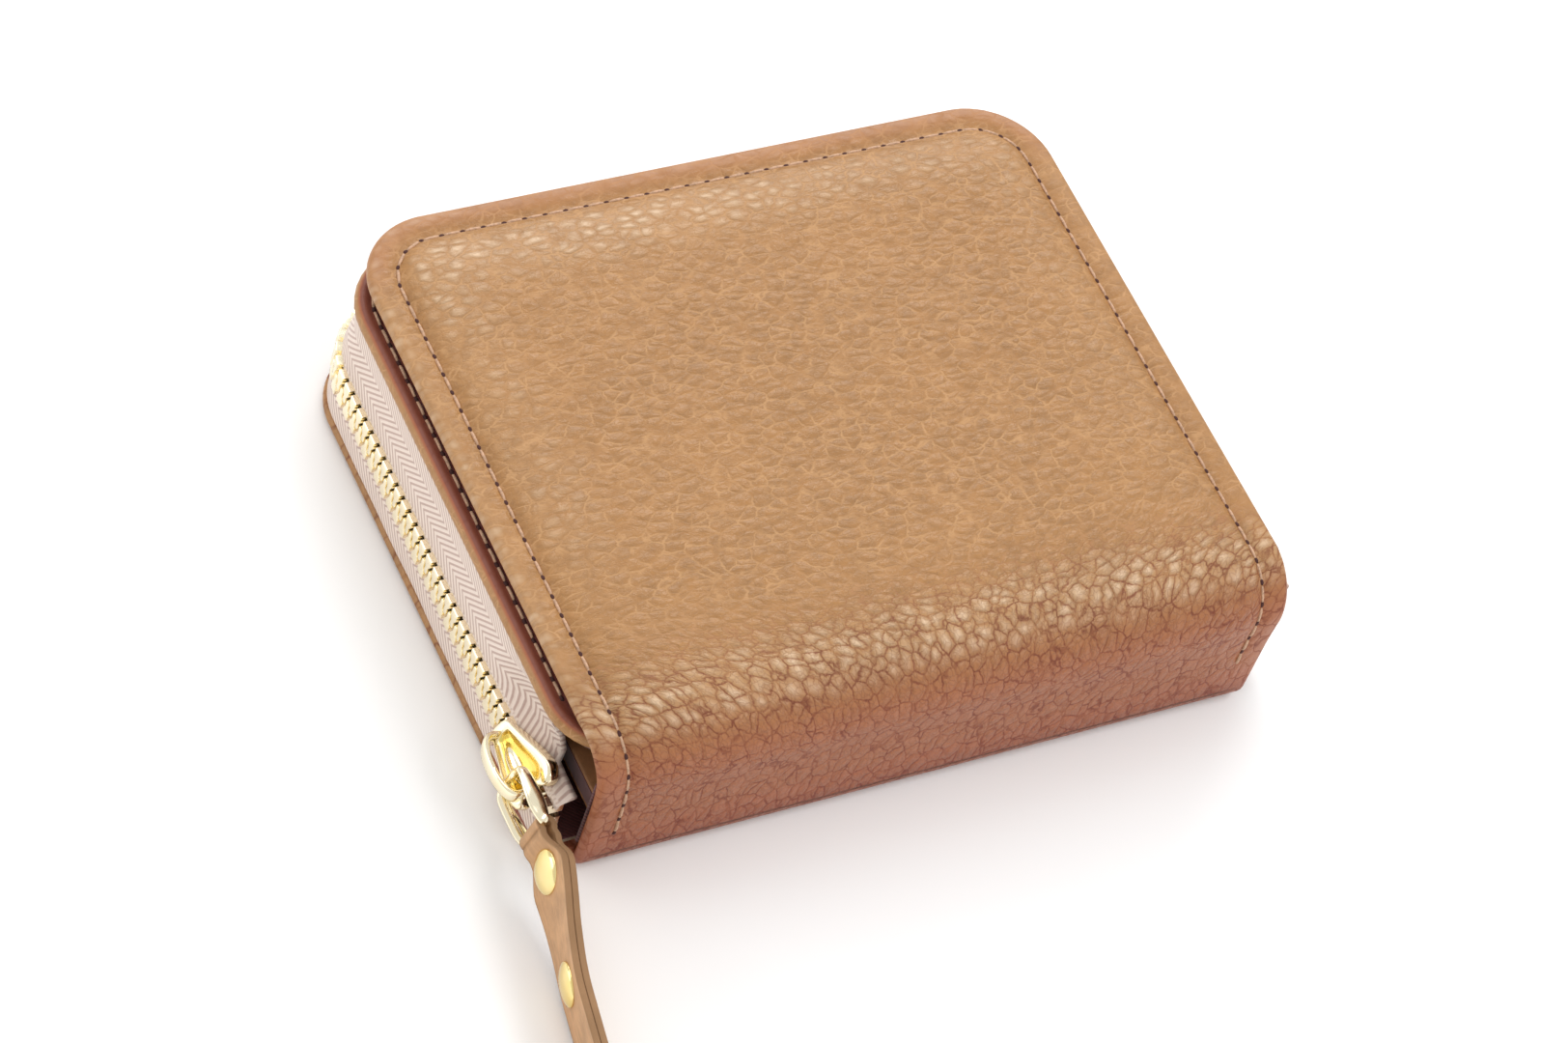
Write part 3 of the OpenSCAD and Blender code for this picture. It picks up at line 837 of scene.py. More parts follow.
def capsule(a, b, up, radius, sides=6, lift=0.35):
    """A stitch from a to b: a round thread that dives into the leather at both ends."""
    axis = b - a
    length = np.linalg.norm(axis)
    axis = axis / length
    side = np.cross(axis, up)
    side /= np.linalg.norm(side)
    up = np.cross(side, axis)
    points = []
    stations = [
        (0, 0.35, -0.75), (0.10, 0.9, 0.0), (0.32, 1.0, lift),
        (0.68, 1.0, lift), (0.90, 0.9, 0.0), (1, 0.35, -0.75)]
    for share, size, height in stations:
        centre = a + axis * length * share + up * radius * height
        points += ring(centre, radius * size * side, radius * size * up, sides)
    faces = [tuple(range(sides))[::-1], *tube_faces(len(stations), sides)]
    faces.append(tuple(range(len(points) - sides, len(points))))
    return np.array(points), faces


def needle_mark(centre, axis, up, radius, sides=8):
    """A small dimple where the thread enters, made dark with painted shade."""
    axis = axis / np.linalg.norm(axis)
    side = np.cross(axis, up)
    side /= np.linalg.norm(side)
    points = [centre + up * radius * 0.32]
    for size, height in ((0.6, 0.26), (1.0, -0.2)):
        level = centre + up * radius * height
        points += ring(level, 1.25 * radius * size * axis, 0.85 * radius * size * side, sides)
    faces = [(0, 1 + k, 1 + (k + 1) % sides) for k in range(sides)]
    faces += tube_faces(2, sides, first=1, flipped=True)
    faces.append(tuple(range(2 * sides, sides, -1)))
    return np.array(points), faces


def stitch_line(path, normals, pitch):
    """Stitches and needle marks along a dense path of surface points."""
    run = run_along(path)

    def at(s, values=path):
        return np.array([np.interp(s, run, values[:, k]) for k in range(3)])

    count = int(run[-1] / pitch)
    radius = bpy.context.scene.wallet_sizes.thread / MM / 2
    threads, marks = [], []
    for i in range(count):
        start, end = at((i + 0.09) * pitch), at((i + 0.91) * pitch)
        up = at((i + 0.5) * pitch, normals)
        up /= np.linalg.norm(up)
        threads.append((i * pitch, capsule(start, end, up, radius)))
        marks.append((i * pitch, needle_mark(at(i * pitch), end - start, up, radius * 1.8)))
    return threads, marks


def skin_stitch_path():
    """The sewing line in skin coordinates: up one end of the spine, round the flap and down the other."""
    inset = STITCH_INSET
    turn = CORNER - inset
    first_stitch = 5.5
    rise = np.arange(first_stitch, SKIN_END - CORNER, 0.4)
    left = np.stack([-(skin_half(rise) - inset), rise], axis=1)
    centre_x, centre_v = FLAP_HALF - CORNER, SKIN_END - CORNER
    angles = np.radians(np.arange(0, 90, 3))
    corner_1 = np.stack([-centre_x - turn * np.cos(angles), centre_v + turn * np.sin(angles)], axis=1)
    along = np.arange(-centre_x, centre_x, 0.5)
    back = np.stack([along, np.full_like(along, SKIN_END - inset)], axis=1)
    corner_2 = np.stack([centre_x + turn * np.sin(angles), centre_v + turn * np.cos(angles)], axis=1)
    right = np.stack([skin_half(rise[::-1]) - inset, rise[::-1]], axis=1)
    return np.concatenate([left, corner_1, back, corner_2, right])


def build_skin_stitches():
    """Threads and needle marks of the outer leather, split as the skin is."""
    path = skin_stitch_path()
    points = skin_surface(path[:, 0], path[:, 1])
    _, _, out_y, out_z = neutral_line(path[:, 1])
    normals = np.stack([0 * out_y, out_y, out_z], axis=1)
    pitch = bpy.context.scene.wallet_sizes.stitch_pitch / MM
    threads, marks = stitch_line(points, normals, pitch)
    run = run_along(points)
    for group, finish, label in ((threads, "thread", "stitches"), (marks, "needle_hole_shade", "needle_marks")):
        for part in SKIN_BENDS:
            chosen = [mesh for start, mesh in group if skin_part(np.interp(start, run, path[:, 1])) == part]
            if chosen:
                bend_skin(joined_pieces(f"{part}_{label}", chosen, finish))


def skin_part(v):
    """The part of the skin that a stitch at a run v is sewn to."""
    return "bottom" if v < SPINE_SEAM - 1.5 else "shoulder" if v < CREASE_SEAM - 1.5 else "flap"


# ---------------------------------------------------------------- flat layers


def plan_half(y, half, front, back, r_back, r_front):
    """Half width of a round-cornered plan outline at a depth y."""
    near_back = np.clip(r_back - (back - y), 0, r_back)
    near_front = np.clip(r_front - (y - front), 0, r_front)
    return np.minimum(
        half - r_back + np.sqrt(r_back ** 2 - near_back ** 2),
        half - r_front + np.sqrt(r_front ** 2 - near_front ** 2) if r_front else half)


def plan_edge(x, y, half, front, back, r_back, r_front):
    """Distance to that outline."""
    ax = np.abs(x)
    behind = corner_distance(half - ax, back - y, r_back)
    before = corner_distance(half - ax, y - front, r_front)
    return np.clip(np.minimum(behind, before), 0, None)


def layer_grid(half, front, back, r_back, r_front, step):
    """Plan grid of a round-cornered layer, crowded at its edges."""
    near = [0, 0.06, 0.16, 0.3, 0.5, 0.8, 1.2, 1.7, 2.2, 2.7, 3.3, 4.2, 5.5]
    shares = mirrored(steps_between(0, half - near[-1] - 1, step) + [half - d for d in near[::-1]], half)
    ends = [
        [r * (1 - math.cos(math.radians(a))) for a in range(0, 91, 9)] if r > 1 else near
        for r in (r_front, r_back)
    ]
    rows = [front + d for d in ends[0]]
    rows += steps_between(rows[-1] + 1, back - ends[1][-1] - 1, step) + [back - d for d in ends[1][::-1]]
    rows = np.array(rows)
    y = np.repeat(rows[:, None], len(shares), axis=1)
    x = shares[None, :] * plan_half(rows, half, front, back, r_back, r_front)[:, None]
    return x, y


def build_layer(name, finish, outline, z_low, z_high, rim=None, groove=0.0, groove_at=2.4, step=3.0, shade_from=None):
    """A flat layer with rounded edges. It can have a sewn groove, and carry painted shadow from a distance inward."""
    x, y = layer_grid(*outline, step)
    edge = plan_edge(x, y, *outline)
    thick = (z_high - z_low) / 2
    share = round_rim(edge, rim or thick)
    middle = (z_low + z_high) / 2
    dip = groove * np.exp(-((edge - groove_at) / 0.6) ** 2)
    outer = np.stack([x, y, middle + thick * share - dip], axis=-1)
    inner = np.stack([x, y, middle - thick * share], axis=-1)
    shade = 0 * edge
    if shade_from is not None:
        # Painted shadow: the shade reaches 2 inward, the wine of the leather under the flap's edge.
        shade = 1.6 * smooth_step((edge - shade_from) / 0.6) + 0.4 * smooth_step((edge - shade_from - 2.0) / 1.2)
    return double_sheet(name, outer, inner, finish, {"edge": edge, "shade": shade})


def node_layer(name, node, finish, r_back, r_front):
    """A layer in the place of a flat frame node."""
    low, high = node_box(node)
    return build_layer(name, finish, (high[0], low[1], high[1], r_back, r_front), low[2], high[2])


def lay_panels(body, board, lining, pockets, front):
    """A body's board and lining, with round corners at the back and as given in front, and its pockets."""
    panels = [(board, "stiffener", CORNER - 2, front), (lining, "lining", CORNER - 2, front)]
    panels += [(pocket, "pocket_leather", 2.0, 2.0) for pocket in pockets]
    for node, finish, *corners in panels:
        place(node_layer(node + "_layer", node, finish, *corners), body, [node])


def layer_stitches(name, outline, z, inset, pitch):
    """Stitches along the sides and the back of a flat layer."""
    half, front, back, r_back, r_front = outline
    turn = max(r_back - inset, 0.5)
    cx, cy = half - inset - turn, back - inset - turn
    angles = np.radians(np.arange(0, 90, 6))
    rise = np.arange(front + max(inset, r_front), cy, 0.6)
    along = np.arange(-cx, cx, 0.6)
    path = np.concatenate([
        np.stack([0 * rise - cx - turn, rise], axis=1),
        np.stack([-cx - turn * np.cos(angles), cy + turn * np.sin(angles)], axis=1),
        np.stack([along, 0 * along + cy + turn], axis=1),
        np.stack([cx + turn * np.sin(angles), cy + turn * np.cos(angles)], axis=1),
        np.stack([0 * rise + cx + turn, rise[::-1]], axis=1),
    ])
    points = np.column_stack([path, np.full(len(path), z)])
    up = np.tile((0.0, 0.0, 1.0), (len(points), 1))
    threads, marks = stitch_line(points, up, pitch)
    return (joined_pieces(name + "_stitches", [m for _, m in threads], "thread"),
            joined_pieces(name + "_needle_marks", [m for _, m in marks], "needle_hole_shade"))


# ---------------------------------------------------------------- zip


def chain_path(s):
    """Positions and outward directions along the middle of the chain, from the front left end."""
    s = np.asarray(s, float)
    past_side = s - CHAIN_SIDE
    arc = math.pi / 2 * CHAIN_CORNER
    a = np.clip(past_side / CHAIN_CORNER, 0, math.pi / 2)
    b = np.clip((past_side - arc - CHAIN_REAR) / CHAIN_CORNER, 0, math.pi / 2)
    x = (CHAIN_CORNER - CHAIN_X - CHAIN_CORNER * np.cos(a)
         + np.clip(past_side - arc, 0, CHAIN_REAR) + CHAIN_CORNER * np.sin(b))
    y = (ZIP_FRONT + np.clip(s, None, CHAIN_SIDE) + CHAIN_CORNER * np.sin(a) - CHAIN_CORNER * (1 - np.cos(b))
         - np.clip(past_side - 2 * arc - CHAIN_REAR, 0, None))
    turn = a + b
    return x, y, -np.cos(turn), np.sin(turn)


def build_tape(name, heights, offsets, weave_start):
    """A woven band along the zip. Heights and offsets give its leaning cross section."""
    total = CHAIN_LENGTH
    upper = weave_start > CHAIN_Z
    s = np.concatenate([[0, 0.1, 0.4], steps_between(1, total - 1, 1.0), [total - 0.4, total - 0.1, total]])
    levels = np.concatenate([
        [heights[0] + d for d in (0, 0.05, 0.2, 0.5)],
        steps_between(heights[0] + 1, heights[-1] - 1, 0.7),
        [heights[-1] - d for d in (0.5, 0.2, 0.05, 0)]])
    x, y, out_x, out_y = (value[:, None] for value in chain_path(s))
    run = np.repeat(s[:, None], len(levels), axis=1)
    level = np.repeat(levels[None, :], len(s), axis=0)
    if upper:
        level = heights[0] + (level - heights[0]) * np.interp(run, (0, 6.5, 10), (0.15, 0.2, 1.0))
    lean = np.interp(level, heights, offsets)
    wobble = 0.10 * np.sin(run * 0.31) * np.sin(run * 0.083 + 1)
    away = np.abs(level - CHAIN_Z) / 10
    lean = lean + wobble * away
    if upper:
        beside_slider = 1 - smooth_step((run - 14) / 10)
        dip = 2.7 * smooth_step((level - 11.9) / 2.6) * (1 - 0.7 * smooth_step((level - 15.5) / 5))
        before = np.clip(COVER_FRONT_R - run, 0, COVER_FRONT_R - 0.5)
        corner = COVER_FRONT_R - np.sqrt(COVER_FRONT_R ** 2 - before ** 2)
        lean = lean - beside_slider * dip - corner * smooth_step((level - 12.3) / 3.4)
    to_edge = np.minimum(np.minimum(level - heights[0], heights[-1] - level), np.minimum(run, total - run))
    share = TAPE_HALF * round_rim(to_edge, 0.35)
    outer = np.stack([x + out_x * (lean + share), y + out_y * (lean + share), level], axis=-1)
    inner = np.stack([x + out_x * (lean - share), y + out_y * (lean - share), level], axis=-1)
    weave = np.stack([run, level - weave_start, 0 * run], axis=-1)
    near_teeth = np.abs(level - CHAIN_Z) - 2.0
    return double_sheet(name, inner, outer, "zip_tape", {"weave": weave, "edge": near_teeth})


def tooth_shape():
    """Outline of a tooth in (along, up): a wide foot on the tape and a rounded nose past the middle."""
    half = [
        (1.00, -2.7), (1.04, -2.2), (1.00, -1.3), (0.74, -0.92),
        (0.50, -0.5), (0.53, 0.1), (0.50, 0.55), (0.32, 0.84)]
    return half + [(-a, b) for a, b in half[::-1]]


def build_teeth(name, upper):
    """One row of teeth: the outline made into a bevelled solid and repeated along the chain."""
    thick, slim, end_gap = 2.6, 0.86, 4.0
    made = bmesh.new()
    ring = [made.verts.new((along, 0, up)) for along, up in tooth_shape()]
    made.faces.new(ring)
    moved = bmesh.ops.extrude_face_region(made, geom=list(made.faces))
    for item in moved["geom"]:
        if isinstance(item, bmesh.types.BMVert):
            item.co.y += thick
    bmesh.ops.translate(made, verts=made.verts, vec=(0, -thick / 2, 0))
    bmesh.ops.recalc_face_normals(made, faces=made.faces)
    rims = [e for e in made.edges if len({round(v.co.y, 3) for v in e.verts}) == 1]
    bmesh.ops.bevel(made, geom=rims, offset=0.28, segments=2, affect="EDGES", profile=0.6)
    shape, faces = taken_apart(made)
    shape = shape * (slim, 1, -1 if upper else 1)
    if upper:
        faces = [f[::-1] for f in faces]
    pitch = bpy.context.scene.wallet_sizes.tooth_pitch / MM
    first = end_gap + (0.5 * pitch if upper else 0)
    parts = []
    for s in np.arange(first, CHAIN_LENGTH - end_gap, pitch):
        x, y, out_x, out_y = (float(value) for value in chain_path(s))
        ahead, across = np.array((out_y, -out_x)), np.array((out_x, out_y))
        flat = np.outer(shape[:, 0], ahead) + np.outer(shape[:, 1], across) + (x, y)
        parts.append((np.column_stack([flat, shape[:, 2] + CHAIN_Z]), faces))
    return joined_pieces(name, parts, "gold_metal", sharp=35)


# ---------------------------------------------------------------- metal slider, link, rivets


def swept(path, widths, thicknesses, side, closed=False, sides=12, power=3.0):
    """A bar with a rounded-rectangle section along a path. Side is the direction of its width."""
    path = np.asarray(path, float)
    count = len(path)
    if closed:
        ahead = np.roll(path, -1, 0) - np.roll(path, 1, 0)
    else:
        ahead = np.gradient(path, axis=0)
    ahead /= np.linalg.norm(ahead, axis=1, keepdims=True)
    side = np.asarray(side, float)
    up = np.cross(ahead, side)
    up /= np.linalg.norm(up, axis=1, keepdims=True)
    angles = np.linspace(0, math.tau, sides, endpoint=False) + math.pi / sides
    c, s = np.cos(angles), np.sin(angles)
    section = np.stack([np.sign(c) * abs(c) ** (2 / power), np.sign(s) * abs(s) ** (2 / power)], axis=1)
    points = []
    for k in range(count):
        ring = (path[k] + np.outer(section[:, 0] * widths[k] / 2, side)
                + np.outer(section[:, 1] * thicknesses[k] / 2, up[k]))
        points.append(ring)
    faces = tube_faces(count, sides, closed=closed, flipped=True)
    if not closed:
        faces.append(tuple(range(sides)))
        faces.append(tuple(range((count - 1) * sides, count * sides))[::-1])
    return np.concatenate(points), faces


def round_edges(piece, width):
    """Rounds the hard edges of a metal piece."""
    modifier = piece.modifiers.new("rounded edges", "BEVEL")
    modifier.width = width * MM
    modifier.segments = 2
    modifier.limit_method = "ANGLE"
    modifier.angle_limit = math.radians(40)


def slider_point(y, up, out):
    """A point of the slider, whose face leans back: up its face and out of it."""
    c, s = math.cos(SLIDER_TILT), math.sin(SLIDER_TILT)
    return np.stack(np.broadcast_arrays(
        SLIDER_X - out * c + up * s, y, SLIDER_Z + out * s + up * c), axis=-1)


def smooth_loop(points, steps=5):
    """A closed smooth curve through points."""
    points = np.asarray(points, float)
    curve = []
    for i in range(len(points)):
        a, b, c, d = (points[(i + k) % len(points)] for k in (-1, 0, 1, 2))
        for t in np.arange(steps) / steps:
            curve.append(0.5 * (2 * b + (c - a) * t + (2 * a - 5 * b + 4 * c - d) * t * t
                                + (3 * b - a - 3 * c + d) * t ** 3))
    return np.array(curve)


def slider_outline():
    """Slider face in (y, up): a narrow tail at the back, broad shoulders and a dip at the mouth."""
    tail, mouth = PLATE_HIGH[1] + 0.2, PLATE_LOW[1]
    side = [
        (tail, 1.7), (tail - 1.6, 2.5), (tail - 4.2, 3.4), (tail - 7.0, 4.5), (tail - 9.3, 5.15), (mouth + 1.2, 5.1),
        (mouth - 0.2, 4.2), (mouth - 0.4, 2.9), (mouth + 0.5, 1.4),
    ]
    return smooth_loop(side + [(y, -0.74 * up) for y, up in side[::-1]])


def build_slider_face():
    """The hollowed face: its sides turn in, its rim is raised and a low boss stands in the recess."""
    outline = slider_outline()
    middle = np.array(((PLATE_LOW[1] + PLATE_HIGH[1]) / 2 - 0.4, 0.65))
    reach = np.abs(outline - middle).max(axis=0)
    back_level, recess_level = 1.7, 2.4
    turned_in = back_level - 0.9 * smooth_step((np.abs(outline[:, 1] - 0.6) - 1.4) / 1.2)
    # The shade column paints richer gold on the recess as painted shade.
    profile = [  # (margin inside the outline, level, measured from the turned-in edge, shade)
        (1.0, 1.7, False, 0), (0.9, 0, True, 0), (0.2, 0, True, 0), (0.0, 0.3, True, 0), (0.0, 2.35, False, 0),
        (0.1, 2.65, False, 0), (0.32, 2.85, False, 0), (0.6, 2.9, False, 0), (1.5, 2.9, False, 0),
        (1.75, 2.8, False, 0.5), (1.95, 2.55, False, 1), (2.2, 2.42, False, 1), (3.2, 2.40, False, 1)]
    rings, shades = [], []
    for margin, level, from_edge, shade in profile:
        ring = middle + (outline - middle) * (1 - margin / reach)
        rings.append(slider_point(ring[:, 0], ring[:, 1], level + (turned_in if from_edge else 0 * turned_in)))
        shades += [shade] * len(ring)
    count = len(outline)
    under, top = count * len(rings) + 1, count * len(rings)
    faces = tube_faces(len(rings), count)
    for k in range(count):
        n = (k + 1) % count
        faces.append((top - count + k, top - count + n, top))
        faces.append((n, k, under))

    boss_rings, boss_sides = 6, 24
    boss = []
    turn = np.linspace(0, math.tau, boss_sides, endpoint=False)
    for a in np.linspace(0, math.pi / 2, boss_rings):
        boss.append(slider_point(
            middle[0] - 0.2 + 3.3 * math.sin(a) * np.cos(turn), middle[1] - 0.9 + 1.25 * math.sin(a) * np.sin(turn),
            2.35 + 0.75 * math.cos(a) + 0 * turn))
    base = under + 1
    last = base + (boss_rings - 1) * boss_sides
    faces += [tuple(range(base, base + boss_sides)), tuple(range(last, last + boss_sides))[::-1]]
    faces += tube_faces(boss_rings, boss_sides, first=base, flipped=True)

    centres = [slider_point(*middle, np.array([level])) for level in (recess_level, back_level)]
    points = np.concatenate([*rings, *centres, *boss])
    # The recess centre takes painted shade.
    shades += [1, 0] + [0] * (boss_rings * boss_sides)
    face = new_piece("slider_face", points, faces, "gold_metal", {"shade": np.array(shades, float)}, sharp=60)
    place(face, "slider", ["slider_outer_plate"])


def build_slider_arch():
    """The arched crown that carries the link."""
    middle, half, foot_x, rise = (PLATE_LOW[1] + PLATE_HIGH[1]) / 2, 4.9, -61.5, 2.15
    angles = np.radians(np.linspace(-12, 192, 34))
    arch = np.abs(np.sin(angles)) ** 0.75 * np.sign(np.sin(angles))
    path = np.stack([foot_x - rise * arch, middle - half * np.cos(angles), 0 * angles + CHAIN_Z + 0.7], axis=1)
    widths = 2.3 + 0.7 * (0.5 - 0.5 * np.cos(angles))
    bar = swept(path, widths, [1.0] * len(path), (0, 0, 1), power=3.2)
    arch = joined_pieces("slider_arch", [bar], "gold_metal", sharp=50)
    place(arch, "slider", ["slider_crown"])


def build_link():
    """The link: a bar in the crown, two flat bent bands and a bar in the strap's fold."""
    back_y, front_y = LINK_HIGH[1] - 0.8, LINK_LOW[1] + 1.0
    knots = [  # (x, y, z, width)
        (-61.9, back_y, 11.6, 1.1), (-61.4, back_y - 0.1, 13.0, 1.2), (-61.1, back_y - 0.9, 14.1, 1.7),
        (-61.2, back_y - 4.0, 14.2, 2.3), (-61.1, front_y + 2.2, 13.7, 2.5), (-61.1, front_y + 0.4, 13.3, 1.8),
        (-61.1, front_y, 12.4, 1.1), (-61.1, front_y, 9.6, 1.1), (-61.1, front_y, 6.9, 1.1),
        (-61.3, front_y + 0.4, 5.9, 1.8), (-61.8, front_y + 2.2, 5.9, 2.3), (-62.4, back_y - 4.0, 6.7, 2.0),
        (-63.0, back_y - 1.2, 7.9, 1.6), (-62.8, back_y - 0.1, 8.9, 1.2), (-62.4, back_y, 10.2, 1.1)]
    curve = smooth_loop(knots, 6)
    flat = np.clip(curve[:, 3] - 1.1, 0, None)
    bar = swept(curve[:, :3], curve[:, 3], 1.1 - 0.15 * flat, (1, 0, 0), closed=True, power=2.6)
    link = joined_pieces("link", [bar], "gold_metal", sharp=60)
    place(link, "pull_link", ["pull_link"])


def lathe(profile, centre, axis, ahead, sides=28):
    """A turned shape: (radius, height) pairs round an axis."""
    axis, ahead = (vector / np.linalg.norm(vector) for vector in (axis, ahead))
    side = np.cross(axis, ahead)
    points = []
    for radius, height in profile:
        points += ring(centre + axis * height, radius * ahead, radius * side, sides)
    faces = tube_faces(len(profile), sides)
    faces.append(tuple(range(sides))[::-1])
    faces.append(tuple(range((len(profile) - 1) * sides, len(profile) * sides)))
    return np.array(points), faces


# ---------------------------------------------------------------- pull strap


def strap_mid(s):
    """Height of the strap's middle: it droops from the bar and comes to rest on its lower edge."""
    rest_z = STRAP_HALF + 0.3
    return CHAIN_Z - (CHAIN_Z - rest_z) * smooth_step((np.asarray(s, float) - 2) / 24)


def strap_half(s):
    """Half width: a neck in the link, the full width past it and a round end."""
    s = np.asarray(s, float)
    body = STRAP_NECK + (STRAP_HALF - STRAP_NECK) * smooth_step((s - 2.4) / 5)
    tip = np.clip(STRAP_HALF - (STRAP_LENGTH - s), 0, STRAP_HALF)
    return np.where(tip > 0, np.sqrt(STRAP_HALF ** 2 - tip ** 2), body)


def strap_point(s, w, offset):
    """A point of the strap: s along it, w across its width, offset outward from its middle."""
    s, w, offset = np.broadcast_arrays(*(np.asarray(k, float) for k in (s, w, offset)))
    twist = np.radians(14) * (1 - smooth_step((s - 1) / 16)) - np.radians(5) * smooth_step((s - 12) / 14)
    across_x, across_z = np.sin(twist), np.cos(twist)
    wander = 0.5 * smooth_step(s / 5) * (1 - smooth_step((s - 9) / 14)) - 0.3 * smooth_step((s - 18) / 20)
    local_x = wander + w * across_x - offset * across_z
    z = strap_mid(s) + w * across_z + offset * across_x
    x = STRAP_X + local_x * math.cos(STRAP_YAW) - s * math.sin(STRAP_YAW)
    y = STRAP_Y - local_x * math.sin(STRAP_YAW) - s * math.cos(STRAP_YAW)
    return np.stack([x, y, z], axis=-1)


def strap_fold():
    """(run, offset) stations along the folded strip: out along one layer, round the bar and back."""
    tips = [STRAP_LENGTH - STRAP_HALF * (1 - math.cos(math.radians(a))) for a in range(0, 91, 9)]
    straight = np.array(tips + list(np.arange(tips[-1] - 1, 3.0, -0.9)) + [2.9, 2.5, 2.1, 1.7])
    gap = SKIVED / 2 + 0.02 + 0.62 * (1 - smooth_step((straight - 1.2) / 3.0))
    loop = np.radians(np.arange(50, 311, 13))
    runs = np.concatenate([straight, FOLD_R * np.cos(loop), straight[::-1]])
    offsets = np.concatenate([-gap, -FOLD_R * np.sin(loop), gap[::-1]])
    return runs, offsets


def build_strap():
    """One strip of leather folded round the link's bar."""
    runs, offsets = strap_fold()
    ahead = np.stack([np.gradient(runs), np.gradient(offsets)], axis=1)
    ahead /= np.linalg.norm(ahead, axis=1, keepdims=True)
    normal = np.stack([-ahead[:, 1], ahead[:, 0]], axis=1)
    near = [0, 0.03, 0.08, 0.16, 0.3, 0.55, 1.0]
    shares = mirrored(steps_between(0, STRAP_HALF - 1.4, 0.7) + [STRAP_HALF - d for d in near[::-1]], STRAP_HALF)
    half = strap_half(runs)
    w = shares[None, :] * half[:, None]
    edge = np.minimum(half[:, None] - np.abs(w), np.clip(STRAP_LENGTH - runs, 0, None)[:, None] + 0 * w)
    share = SKIVED / 2 * round_rim(edge, 0.28, 4.0)
    outer, inner = (
        strap_point(runs[:, None] + sign * share * normal[:, :1], w, offsets[:, None] + sign * share * normal[:, 1:])
        for sign in (1, -1))
    distance = run_along(np.stack([runs, offsets], axis=1))
    grain = np.stack([0.25 * np.repeat(distance[:, None], w.shape[1], axis=1), 1.6 * w, 0 * w], axis=-1)
    strap = double_sheet("strap", outer, inner, "strap_leather", {"edge": edge, "grain": grain})
    place(strap, "pull_strap", ["pull_strap"])


def build_rivets():
    """Domed rivet caps on both faces of the strap."""
    profile = [
        (3.2, 0.0), (3.22, 0.18), (3.1, 0.36), (2.7, 0.55), (2.1, 0.78), (1.4, 0.94), (0.7, 1.02), (0.02, 1.04)]
    caps = []
    for s in RIVETS:
        for side in (1, -1):
            base = strap_point(s, 0, side * SKIVED)
            tip = strap_point(s, 0, side * (SKIVED + 1))
            ahead = strap_point(s + 1, 0, side * SKIVED) - base
            caps.append(lathe(profile, base, tip - base, ahead))
    count = sum(len(points) for points, _ in caps)
    rivets = joined_pieces("strap_rivets", caps, "gold_metal", attributes={"shade": np.full(count, 0.55)}, sharp=50)
    place(rivets, "pull_strap", ["rivet_caps"])


# ---------------------------------------------------------------- frame nodes that stay, and simple soft blocks


def soft_block(name, node, finish, radius):
    """A rounded block in the place of a flat frame node."""
    low, high = node_box(node)
    made = bmesh.new()
    bmesh.ops.create_cube(made, size=1)
    for vertex in made.verts:
        vertex.co = Vector((low + high) / 2) + Vector(vertex.co[k] * (high - low)[k] for k in range(3))
    bmesh.ops.bevel(made, geom=list(made.edges), offset=radius, segments=3, affect="EDGES", profile=0.5)
    points, faces = taken_apart(made)
    return new_piece(name, points, faces, finish, {"edge": np.full(len(points), 2.0)}, sharp=50)


def coil_turns():
    """The turns of the coin pouch's fine coil zip, leaning a little as a wound coil does."""
    tape_low, tape_high = node_box("coin_zip_tape")
    low, high = node_box("coin_zip_coil")
    middle, pitch = (tape_low[1] + tape_high[1]) / 2, 1.3
    angles = np.radians(np.arange(0, 360, 30))
    count = len(angles)
    turns = []
    for x in np.arange(low[0] + 0.6, high[0] - 0.5, pitch):
        path = [
            (x + 0.22 * math.sin(2 * a), middle + 1.15 * math.cos(a), low[2] + 0.72 + 0.42 * math.sin(a))
            for a in angles]
        turns.append(swept(path, [0.55] * count, [0.5] * count, (1, 0, 0), closed=True, sides=6, power=2.0))
    return turns


def dress_node(node, finish, bevel=0.0):
    """Keeps a frame node and gives it a finish."""
    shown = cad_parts[node]
    shown.data.materials.clear()
    shown.data.materials.append(material(finish))
    shown.data.shade_smooth()
    shown.data.set_sharp_from_angle(angle=math.radians(35))
    if bevel:
        round_edges(shown, bevel)


# ---------------------------------------------------------------- operators


class WALLET_OT_skin(bpy.types.Operator):
    """Make the outer leather: bottom, spine, shoulder and padded flap"""

    bl_idname = "wallet.skin"
    bl_label = "Outer leather"

    def execute(self, context):
        bottom, shoulder, flap = build_skin()
        for piece, part in zip((bottom, shoulder, flap), SKIN_BENDS):
            bend_skin(piece)
        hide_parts("bottom_cover", "spine_cover")
        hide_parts("shoulder_cover")
        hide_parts("flap_cover")
        build_skin_stitches()
        return {"FINISHED"}


class WALLET_OT_flap_inside(bpy.types.Operator):
    """Make the flap's foam, lining and slip pocket"""

    bl_idname = "wallet.flap_inside"
    bl_label = "Inside of the flap"

    def execute(self, context):
        lining = node_layer("flap_lining_cloth", "flap_lining", "lining", 11.6, 0)
        place(lining, "flap", ["flap_lining"])
        pocket = node_layer("flap_slip_pocket", "flap_pocket", "pocket_leather", 2, 2)
        place(pocket, "flap", ["flap_pocket"])
        foam = soft_block("flap_foam", "flap_padding", "stiffener", 0.5)
        place(foam, "flap", ["flap_padding"])
        return {"FINISHED"}


